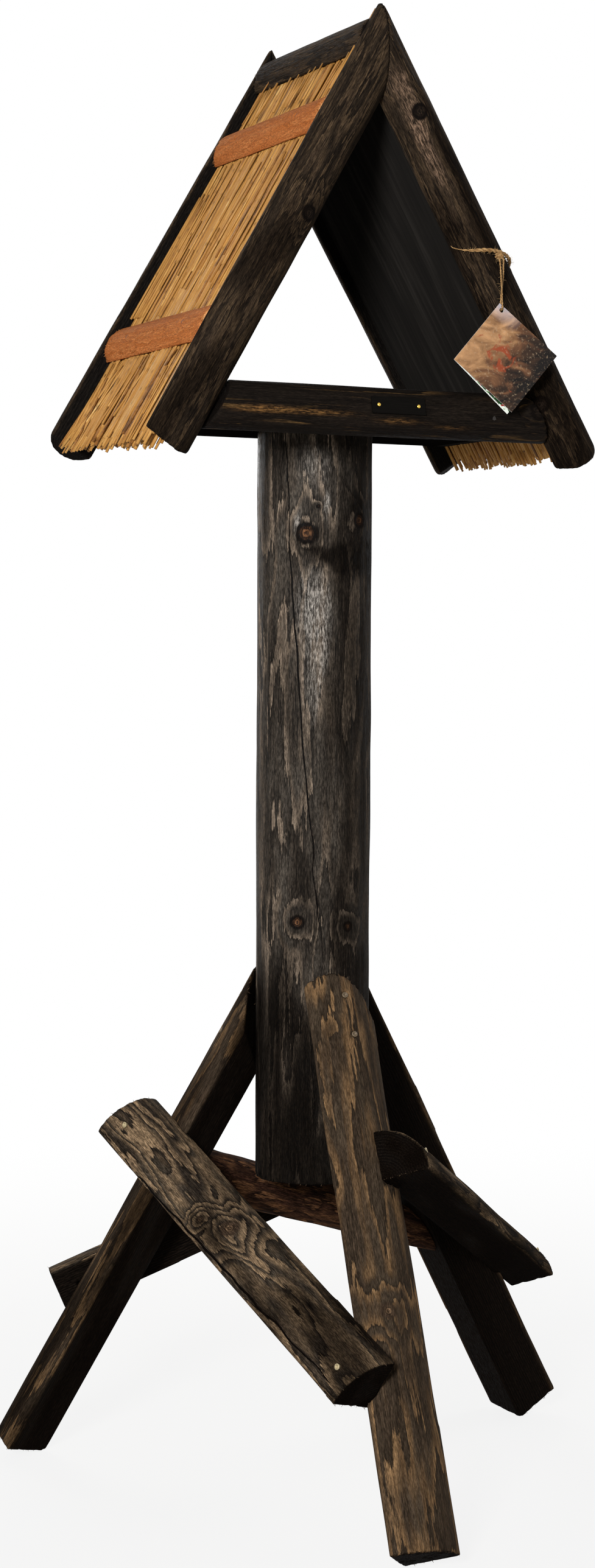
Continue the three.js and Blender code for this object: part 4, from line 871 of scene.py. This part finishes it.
# Radius and rise, from the shank up over the rim, across the face and down into the driver's recess
screwProfile = [(0.0023, -0.012), (0.0023, -0.003), (0.0030, -0.0006), (0.0032, 0.0002), (0.0031, 0.0005),
                (0.0021, 0.0008), (0.0016, 0.0007), (0.0014, -0.0010), (0.0004, -0.0012)]
pinProfile = [(0.0008, -0.003), (0.0008, -0.0012), (0.0020, -0.0010), (0.0020, -0.0006), (0.0017, -0.0001),
              (0.0010, 0.0002), (0.0003, 0.0003)]
screws = [f"leg_screw_{leg}_{level}" for leg in ("front", "left", "right") for level in ("lower", "upper")]
screws += [f"brace_screw_{brace}_{level}" for brace in ("front", "right", "rear") for level in ("upper", "lower")]
screws += ["stretcher_screw_left", "stretcher_screw_right"]
for node in screws:
    latheHead(f"head_{node}", node, screwProfile, 0.16, stainedScrew if node.startswith("leg_") else zincScrew)
for node in ("name_plate_pin_left", "name_plate_pin_right"):
    latheHead(f"head_{node}", node, pinProfile, 0, brass)
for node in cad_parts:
    if node.startswith("nail_") or node.startswith("floor_screw"):
        dress(node, rustyNail if "batten" in node else darkNail)


# ---- bare name plate ----
# Black anodised sheet: an even, near-black face with a faint directional brush
def blackPlate():
    material, tree = newMaterial("black_anodised_plate")
    place = addNode(tree, "ShaderNodeTexCoord").outputs["Object"]
    long = addNode(tree, "ShaderNodeVectorMath", {0: place, 1: (60, 2500, 2500)}, operation="MULTIPLY")
    brush = addNode(tree, "ShaderNodeTexNoise", {"Vector": long, "Scale": 1.0, "Detail": 2.0})
    shade = addNode(tree, "ShaderNodeValToRGB", {0: brush.outputs[0]}, stops=[(0.3, "#060504"), (0.7, "#0e0c0a")])
    finishMaterial(tree, shade, 0.5, brush.outputs[0], 0.00003, specular=0.03)
    return material


def namePlate():
    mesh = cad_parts["name_plate"].data.copy()
    shape = bmesh.new()
    shape.from_mesh(mesh)
    bmesh.ops.remove_doubles(shape, verts=shape.verts, dist=1e-6)
    corners = [edge for edge in shape.edges
               if len(edge.link_faces) == 2 and edge.calc_face_angle(0) > 1.2 and edge.calc_length() > 0.0009]
    bmesh.ops.bevel(shape, geom=corners, offset=0.00025, segments=2, affect="EDGES")
    shape.to_mesh(mesh)
    shape.free()
    mesh.materials.clear()
    mesh.materials.append(blackPlate())
    addPiece("bare_plate", mesh, ["name_plate"])


namePlate()
print("metal and plate made")

# ---- twine ----
# Natural jute, two plies, pale straw brown, hairy, frayed at its cut end. Down is in metres from the apex,
# turns are degrees round the barge board.
twine = {
    "tie": (0.240, 0.290), "turns": (6, 178), "radius": 0.0024, "off": 0.0027, "pitch": 0.013, "hairs": 130,
    "knot": (0.273, 104, 0.0049), "knotRadius": 0.0046, "wrapRadius": 0.00165, "wrapPitch": 0.009, "wrapHairs": 18,
    "wraps": ((0.2, 1.0), (1.3, 0.92), (-0.9, 0.86)),      # tilt and share of the size of each turn in the knot
    "fray": 16, "frayLength": (0.006, 0.013),
    "loopRadius": 0.0011, "loopPitch": 0.006, "loopHairs": 70,
}
card = {
    "corner": Vector((0.0776, -0.1128, 1.2083)),      # the fold's upper end
    "underKnot": (-0.0015, -0.004, -0.048),           # the same, from the knot
    "hole": (0.0056, 0.0042),                         # across the leaf and down it
    "fold": 41.7, "opening": 8,                       # degrees
}


def juteTwine():
    material, tree = newMaterial("jute_twine")
    place = addNode(tree, "ShaderNodeTexCoord").outputs["Object"]
    tone = addNode(tree, "ShaderNodeAttribute", attribute_name="tone")
    tone = addNode(tree, "ShaderNodeSeparateXYZ", {0: tone.outputs["Vector"]})
    fine = addNode(tree, "ShaderNodeTexNoise", {"Vector": place, "Scale": 900.0, "Detail": 3.0, "Roughness": 0.7})
    value = addNode(tree, "ShaderNodeMath", {0: fine.outputs[0], 1: 0.7, 2: tone.outputs[0]}, operation="MULTIPLY_ADD")
    shade = addNode(tree, "ShaderNodeValToRGB", {0: value}, stops=[(0.25, "#5f472c"), (1.0, "#c8a878"), (0.6, "#977348")])
    finishMaterial(tree, shade, 0.85, fine.outputs[0], 0.0002, specular=0.2)
    return material


def aroundBarge(down, turn, off):            # a point off the front right barge board's round side
    away = house["bargeRadius"] + off
    angle = math.radians(turn)
    return slopePoint(1, down, house["bargeRadius"] + away * math.cos(angle), house["frontFlat"] - away * math.sin(angle))


def addTwine(store, chance, line, sizes, pitch, hairs, plies=2):
    length, lengths = 0, [0]
    for a, b in zip(line, line[1:]):
        length += (b - a).length
        lengths.append(length)
    across = (line[1] - line[0]).orthogonal().normalized()
    tracks = [[] for _ in range(plies)]
    for i, centre in enumerate(line):
        ahead = (line[min(i + 1, len(line) - 1)] - line[max(i - 1, 0)]).normalized()
        across = (across - ahead * across.dot(ahead)).normalized()
        over = ahead.cross(across)
        for ply in range(plies):
            turn = 2 * math.pi * (lengths[i] / pitch + ply / plies)
            tracks[ply].append(centre + (across * math.cos(turn) + over * math.sin(turn)) * sizes[i] * 0.48)
    for ply, track in enumerate(tracks):
        radii = [0.56 * s * (1 + 0.10 * math.sin(i * 1.7 + ply)) for i, s in enumerate(sizes)]
        tones = [(0.25 + 0.12 * math.sin(i * 0.9 + 2 * ply), 0, 0) for i in range(len(track))]
        addTube(store, track, radii, tones, sides=8)
    for _ in range(hairs):
        i = chance.randrange(1, len(line) - 1)
        aim = Vector([chance.gauss(0, 1) for _ in range(3)]).normalized()
        drift = Vector([chance.gauss(0, 1) for _ in range(3)]) * 0.0008
        size = chance.uniform(0.0015, 0.0042)
        points = [line[i] + aim * (sizes[i] * 0.7 + size * t) + drift * t * t for t in (0, 0.35, 0.7, 1)]
        addTube(store, points, [0.00011, 0.0001, 0.00009, 0.00005], [(0.45, 0, 0)] * 4, sides=3)


def smoothLine(points, steps):               # through every point, with a Catmull-Rom curve
    ends = [points[0] * 2 - points[1]] + list(points) + [points[-1] * 2 - points[-2]]
    line = []
    for i in range(1, len(ends) - 2):
        a, b, c, d = ends[i - 1:i + 3]
        for k in range(steps):
            t = k / steps
            line.append(0.5 * (2 * b + (c - a) * t + (2 * a - 5 * b + 4 * c - d) * t * t
                               + (3 * b - a - 3 * c + d) * t ** 3))
    return line + [points[-1]]


def tieTwine():
    chance = random.Random(31)
    store = newStore()
    steps = 90
    line, sizes = [], []
    for i in range(steps + 1):
        share = i / steps
        down = twine["tie"][0] + (twine["tie"][1] - twine["tie"][0]) * share
        turn = twine["turns"][0] + (twine["turns"][1] - twine["turns"][0]) * share
        line.append(aroundBarge(down + 0.0012 * math.sin(share * 9), turn, twine["off"]))
        sizes.append(twine["radius"] * min(1, 0.2 + 0.8 * max(0, share - 0.15) / 0.25) * 0.92)
    addTwine(store, chance, line[12:], sizes[12:], twine["pitch"], twine["hairs"])
    addTube(store, line[8:16], [0.0005] * 6 + [0.0004, 0.0002], [(0.2, 0, 0)] * 8, sides=5)
    for _ in range(twine["fray"]):           # the cut end stands open like a brush
        aim = ((line[-1] - line[-3]).normalized() + Vector([chance.gauss(0, 0.4) for _ in range(3)])).normalized()
        reach = chance.uniform(*twine["frayLength"])
        sag = Vector((0, 0, -0.5)) * reach
        fray = [line[-1] + aim * reach * t + sag * t * t for t in (0, 0.3, 0.6, 1)]
        addTube(store, fray, [0.0004, 0.00035, 0.00025, 0.0001], [(0.4, 0, 0)] * 4, sides=4)
    onward = (line[8] - line[11]).normalized()      # a single thread at the other end
    thread = [line[8] + onward * t * 0.003 + Vector((0, -0.3, 0.4)) * 0.003 * t * t for t in (0, 0.3, 0.6, 1)]
    addTube(store, thread, [0.0005, 0.0004, 0.0003, 0.00015], [(0.4, 0, 0)] * 4, sides=5)
    knot = aroundBarge(*twine["knot"])
    outward = (knot - aroundBarge(twine["knot"][0], twine["knot"][1], 0)).normalized()
    along = (line[-1] - line[0]).normalized()
    side = outward.cross(along)
    for tilt, size in twine["wraps"]:
        first = math.cos(tilt) * along + math.sin(tilt) * side
        loop = [knot + (first * math.cos(a) + outward * math.sin(a)) * (twine["knotRadius"] * 0.62 * size)
                + first.cross(outward) * (0.0011 * math.sin(2 * a)) for a in np.linspace(0, 2 * math.pi * 0.97, 26)]
        addTwine(store, chance, loop, [twine["wrapRadius"]] * len(loop), twine["wrapPitch"], twine["wrapHairs"])
    finishStore("jute_tie", store, jute, ["twine_tie"])
    return knot


def loopTwine(knot):                         # down from the knot in front, through the card's hole and up behind
    chance = random.Random(33)
    store = newStore()
    fold = math.radians(card["fold"])
    down = Vector((-math.sin(fold), 0, -math.cos(fold)))
    leaf = Vector((math.cos(fold), 0, -math.sin(fold)))
    hole = Vector(card["underKnot"]) + down * card["hole"][1] + leaf * card["hole"][0]
    hole.y = card["underKnot"][1] - card["hole"][0] * math.tan(math.radians(card["opening"]))
    bend, thin = 0.0026, twine["loopRadius"]
    bottom = hole.z + 0.0024 / 3
    high = bottom + bend + 0.012
    points = [(-0.0013, -0.0022, -0.0022), (-0.0022, -0.0040, -0.0040), (-bend, hole.y - bend / 2, -0.0092),
              (hole.x - thin - 0.001, hole.y - bend, -0.024), (hole.x - thin, hole.y - bend, high)]
    for s in (-1, -0.7, 0, 0.7, 1):
        points.append((hole.x + thin / 3 * s, hole.y + bend * s, bottom + bend - bend * math.sqrt(1 - s * s)))
    points += [(hole.x + thin, hole.y + bend, high), (hole.x + thin + 0.002, hole.y + bend, -0.024),
               (bend, hole.y + bend / 2, -0.0092), (0.0022, -0.0040, -0.0040), (0.0013, -0.0022, -0.0022)]
    line = smoothLine([knot + Vector(point) for point in points], 6)
    addTwine(store, chance, line, [thin * 0.9] * len(line), twine["loopPitch"], twine["loopHairs"])
    finishStore("jute_loop", store, jute, ["tag_twine"], "tag")


jute = juteTwine()
loopTwine(tieTwine())

# ---- swing card ----
# Folded coated card, printed in soft browns as a blurred patch of ground, white where it was cut
def printedCard():
    material, tree = newMaterial("printed_coated_card")
    turn = math.radians(card["fold"])
    place = addNode(tree, "ShaderNodeTexCoord").outputs["Object"]
    offset = addNode(tree, "ShaderNodeVectorMath", {0: place, 1: tuple(card["corner"])}, operation="SUBTRACT")
    ways = [(math.cos(turn), 0, -math.sin(turn)), (-math.sin(turn), 0, -math.cos(turn)), (0, -1, 0)]
    acrossLeaf, downLeaf, forward = (
        addNode(tree, "ShaderNodeVectorMath", {0: offset, 1: way}, operation="DOT_PRODUCT").outputs["Value"] for way in ways)
    opening = math.tan(math.radians(card["opening"]))
    split = addNode(tree, "ShaderNodeMath", {0: acrossLeaf, 1: opening}, operation="MULTIPLY")
    frontLeaf = addNode(tree, "ShaderNodeMath", {0: forward, 1: split}, operation="GREATER_THAN")
    facing = addNode(tree, "ShaderNodeSeparateXYZ", {0: addNode(tree, "ShaderNodeNewGeometry").outputs["True Normal"]})
    toFront = addNode(tree, "ShaderNodeMath", {0: facing.outputs[1], 1: -0.5}, operation="LESS_THAN")
    toBack = addNode(tree, "ShaderNodeMath", {0: facing.outputs[1], 1: 0.5}, operation="GREATER_THAN")

    stretched = addNode(tree, "ShaderNodeVectorMath", {0: place, 1: (1.0, 1.0, 1.9)}, operation="MULTIPLY")
    blur = addNode(tree, "ShaderNodeTexNoise", {"Vector": stretched, "Scale": 34.0, "Detail": 4.0, "Roughness": 0.6,
                                                "Distortion": 0.8})
    toRight = addNode(tree, "ShaderNodeMapRange", {0: acrossLeaf, 1: 0.0, 2: 0.075, 3: 0.28, 4: -0.16})
    level = addNode(tree, "ShaderNodeMath", {0: blur.outputs[0], 1: toRight}, operation="ADD")
    ground = addNode(tree, "ShaderNodeValToRGB", {0: level}, stops=[
        (0.30, "#15110f"), (0.86, "#bd9066"), (0.44, "#38281e"), (0.55, "#664631"), (0.68, "#8f6a49")])
    middle = addNode(tree, "ShaderNodeVectorMath", {0: offset, 1: (-0.004, 0.0, -0.052)}, operation="SUBTRACT")
    middle = addNode(tree, "ShaderNodeVectorMath", {0: middle, 1: (1.0, 0.0, 1.0)}, operation="MULTIPLY")
    reach = addNode(tree, "ShaderNodeVectorMath", {0: middle}, operation="LENGTH").outputs["Value"]
    reach = addNode(tree, "ShaderNodeMapRange", {0: reach, 1: 0.0, 2: 0.030, 3: 0.16, 4: -0.12})
    spot = addNode(tree, "ShaderNodeTexNoise", {"Vector": place, "Scale": 90.0, "Detail": 2.0, "Distortion": 0.7})
    spot = addNode(tree, "ShaderNodeMath", {0: spot.outputs[0], 1: reach}, operation="ADD")
    warm = addNode(tree, "ShaderNodeMapRange", {0: spot, 1: 0.54, 2: 0.70, 3: 0.0, 4: 0.9},
                   interpolation_type="SMOOTHSTEP")
    picture = addNode(tree, "ShaderNodeMix", {0: warm, 6: ground, 7: "#8f4128"}, data_type="RGBA")
    grit = addNode(tree, "ShaderNodeTexNoise", {"Vector": place, "Scale": 420.0, "Detail": 2.0})
    pale = addNode(tree, "ShaderNodeMapRange", {0: grit.outputs[0], 1: 0.58, 2: 0.74, 3: 0.0, 4: 0.35})
    picture = addNode(tree, "ShaderNodeMix", {0: pale, 6: picture.outputs[2], 7: "#b9a184"}, data_type="RGBA")
    # a painted highlight, pale blue, along the top of the leaf by the fold
    sheen = addNode(tree, "ShaderNodeMapRange", {0: downLeaf, 1: 0.0, 2: 0.016, 3: 0.6, 4: 0.0})
    nearFold = addNode(tree, "ShaderNodeMapRange", {0: acrossLeaf, 1: 0.0, 2: 0.03, 3: 1.0, 4: 0.0})
    sheen = addNode(tree, "ShaderNodeMath", {0: sheen, 1: nearFold}, operation="MULTIPLY")
    picture = addNode(tree, "ShaderNodeMix", {0: sheen, 6: picture.outputs[2], 7: "#b9c6dc"}, data_type="RGBA")

    specks = addNode(tree, "ShaderNodeTexVoronoi", {"Vector": place, "Scale": 330.0})
    leafy = addNode(tree, "ShaderNodeValToRGB", {0: specks.outputs["Color"]}, stops=[
        (0.0, "#20401f"), (1.0, "#eef0ea"), (0.30, "#4f7d33"), (0.42, "#1d1a18"), (0.50, "#a83a34"), (0.55, "#e2e8dc")])
    leafy.color_ramp.interpolation = "CONSTANT"
    inner = addNode(tree, "ShaderNodeMapRange", {0: downLeaf, 1: 0.0765, 2: 0.0775})
    rearPicture = addNode(tree, "ShaderNodeMix", {0: inner, 6: leafy, 7: "#e6ece6"}, data_type="RGBA")

    onFront = addNode(tree, "ShaderNodeMath", {0: frontLeaf, 1: toFront}, operation="MULTIPLY")
    onBack = addNode(tree, "ShaderNodeMath", {0: frontLeaf, 1: -1.0, 2: 1.0}, operation="MULTIPLY_ADD")
    onBack = addNode(tree, "ShaderNodeMath", {0: onBack, 1: toBack}, operation="MULTIPLY")
    onRear = addNode(tree, "ShaderNodeMath", {0: toFront, 1: onFront}, operation="SUBTRACT")
    shade = "#eceae4"                        # the cut edges stay white
    for where, cover in ((onFront, picture), (onBack, picture), (onRear, rearPicture)):
        shade = addNode(tree, "ShaderNodeMix", {0: where, 6: shade, 7: cover.outputs[2]}, data_type="RGBA").outputs[2]
    finishMaterial(tree, shade, 0.35, blur.outputs[0], 0.00005, specular=0.15)
    return material


dress("tag_card", printedCard())
print("twine and card made")

# ---- floor, backdrop and light ----
studio = {
    "floorShade": "#b4b2ae", "floorHalf": 9, "floorDrop": 0.0006,
    "clear": (0.4, 2.2), "clearShare": 0.86,      # metres over which the paper turns from lit to plain white
    "skyStrength": 0.12, "aimHeight": 0.85,
    "key": {"place": (-2.3, -2.6, 1.5), "size": 0.7, "power": 140},
    "fill": {"place": (1.8, -2.6, 1.4), "size": 2.2, "power": 4},
    "rear": {"place": (0.3, 2.8, 1.9), "size": 1.6, "power": 50},
    "side": {"place": (2.9, 0.7, 1.8), "size": 1.6, "power": 45},
}


def seenDirectly(tree):                      # 1 for what the eye sees, also in a mirror or through glass
    rays = addNode(tree, "ShaderNodeLightPath").outputs
    seen = addNode(tree, "ShaderNodeMath", {0: rays["Is Camera Ray"], 1: rays["Is Glossy Ray"]}, operation="MAXIMUM")
    return addNode(tree, "ShaderNodeMath", {0: seen, 1: rays["Is Transmission Ray"]}, operation="MAXIMUM")


def addFloor():
    mesh = bpy.data.meshes.new("studio_floor")
    half, low = studio["floorHalf"], -studio["floorDrop"]
    mesh.from_pydata([(-half, -half, low), (half, -half, low), (half, half, low), (-half, half, low)], [], [(0, 1, 2, 3)])
    material, tree = newMaterial("matt_white_studio_paper")
    place = addNode(tree, "ShaderNodeTexCoord").outputs["Object"]
    away = addNode(tree, "ShaderNodeVectorMath", {0: place}, operation="LENGTH").outputs["Value"]
    near, far = studio["clear"]
    clear = addNode(tree, "ShaderNodeMapRange", {0: away, 1: near, 2: far, 3: studio["clearShare"], 4: 1.0},
                    interpolation_type="SMOOTHSTEP")
    share = addNode(tree, "ShaderNodeMath", {0: seenDirectly(tree), 1: clear}, operation="MULTIPLY")
    paper = addNode(tree, "ShaderNodeBsdfDiffuse", {"Color": studio["floorShade"]})
    glow = addNode(tree, "ShaderNodeEmission", {"Color": (1, 1, 1, 1), "Strength": 1.0})
    both = addNode(tree, "ShaderNodeMixShader", {0: share, 1: paper, 2: glow})
    addNode(tree, "ShaderNodeOutputMaterial", {"Surface": both})
    mesh.materials.append(material)
    floor = bpy.data.objects.new("studio_floor", mesh)
    scene.collection.objects.link(floor)


def addWorld():
    world = bpy.data.worlds.new("studio")
    scene.world = world
    world.use_nodes = True
    tree = world.node_tree
    tree.nodes.clear()
    power = addNode(tree, "ShaderNodeMapRange", {0: seenDirectly(tree), 1: 0.0, 2: 1.0, 3: studio["skyStrength"], 4: 1.0})
    sky = addNode(tree, "ShaderNodeBackground", {"Color": (1, 1, 1, 1), "Strength": power})
    addNode(tree, "ShaderNodeOutputWorld", {"Surface": sky})


def addLamp(name, lamp):
    light = bpy.data.lights.new(name, "AREA")
    light.size = lamp["size"]
    light.energy = lamp["power"]
    holder = bpy.data.objects.new(name, light)
    place = Vector(lamp["place"])
    facing = (place - Vector((0, 0, studio["aimHeight"]))).to_track_quat("Z", "Y")
    holder.matrix_world = Matrix.Translation(place) @ facing.to_matrix().to_4x4()
    scene.collection.objects.link(holder)


addFloor()
addWorld()
for name in ("key", "fill", "rear", "side"):
    addLamp(f"{name}_light", studio[name])
print("studio set")
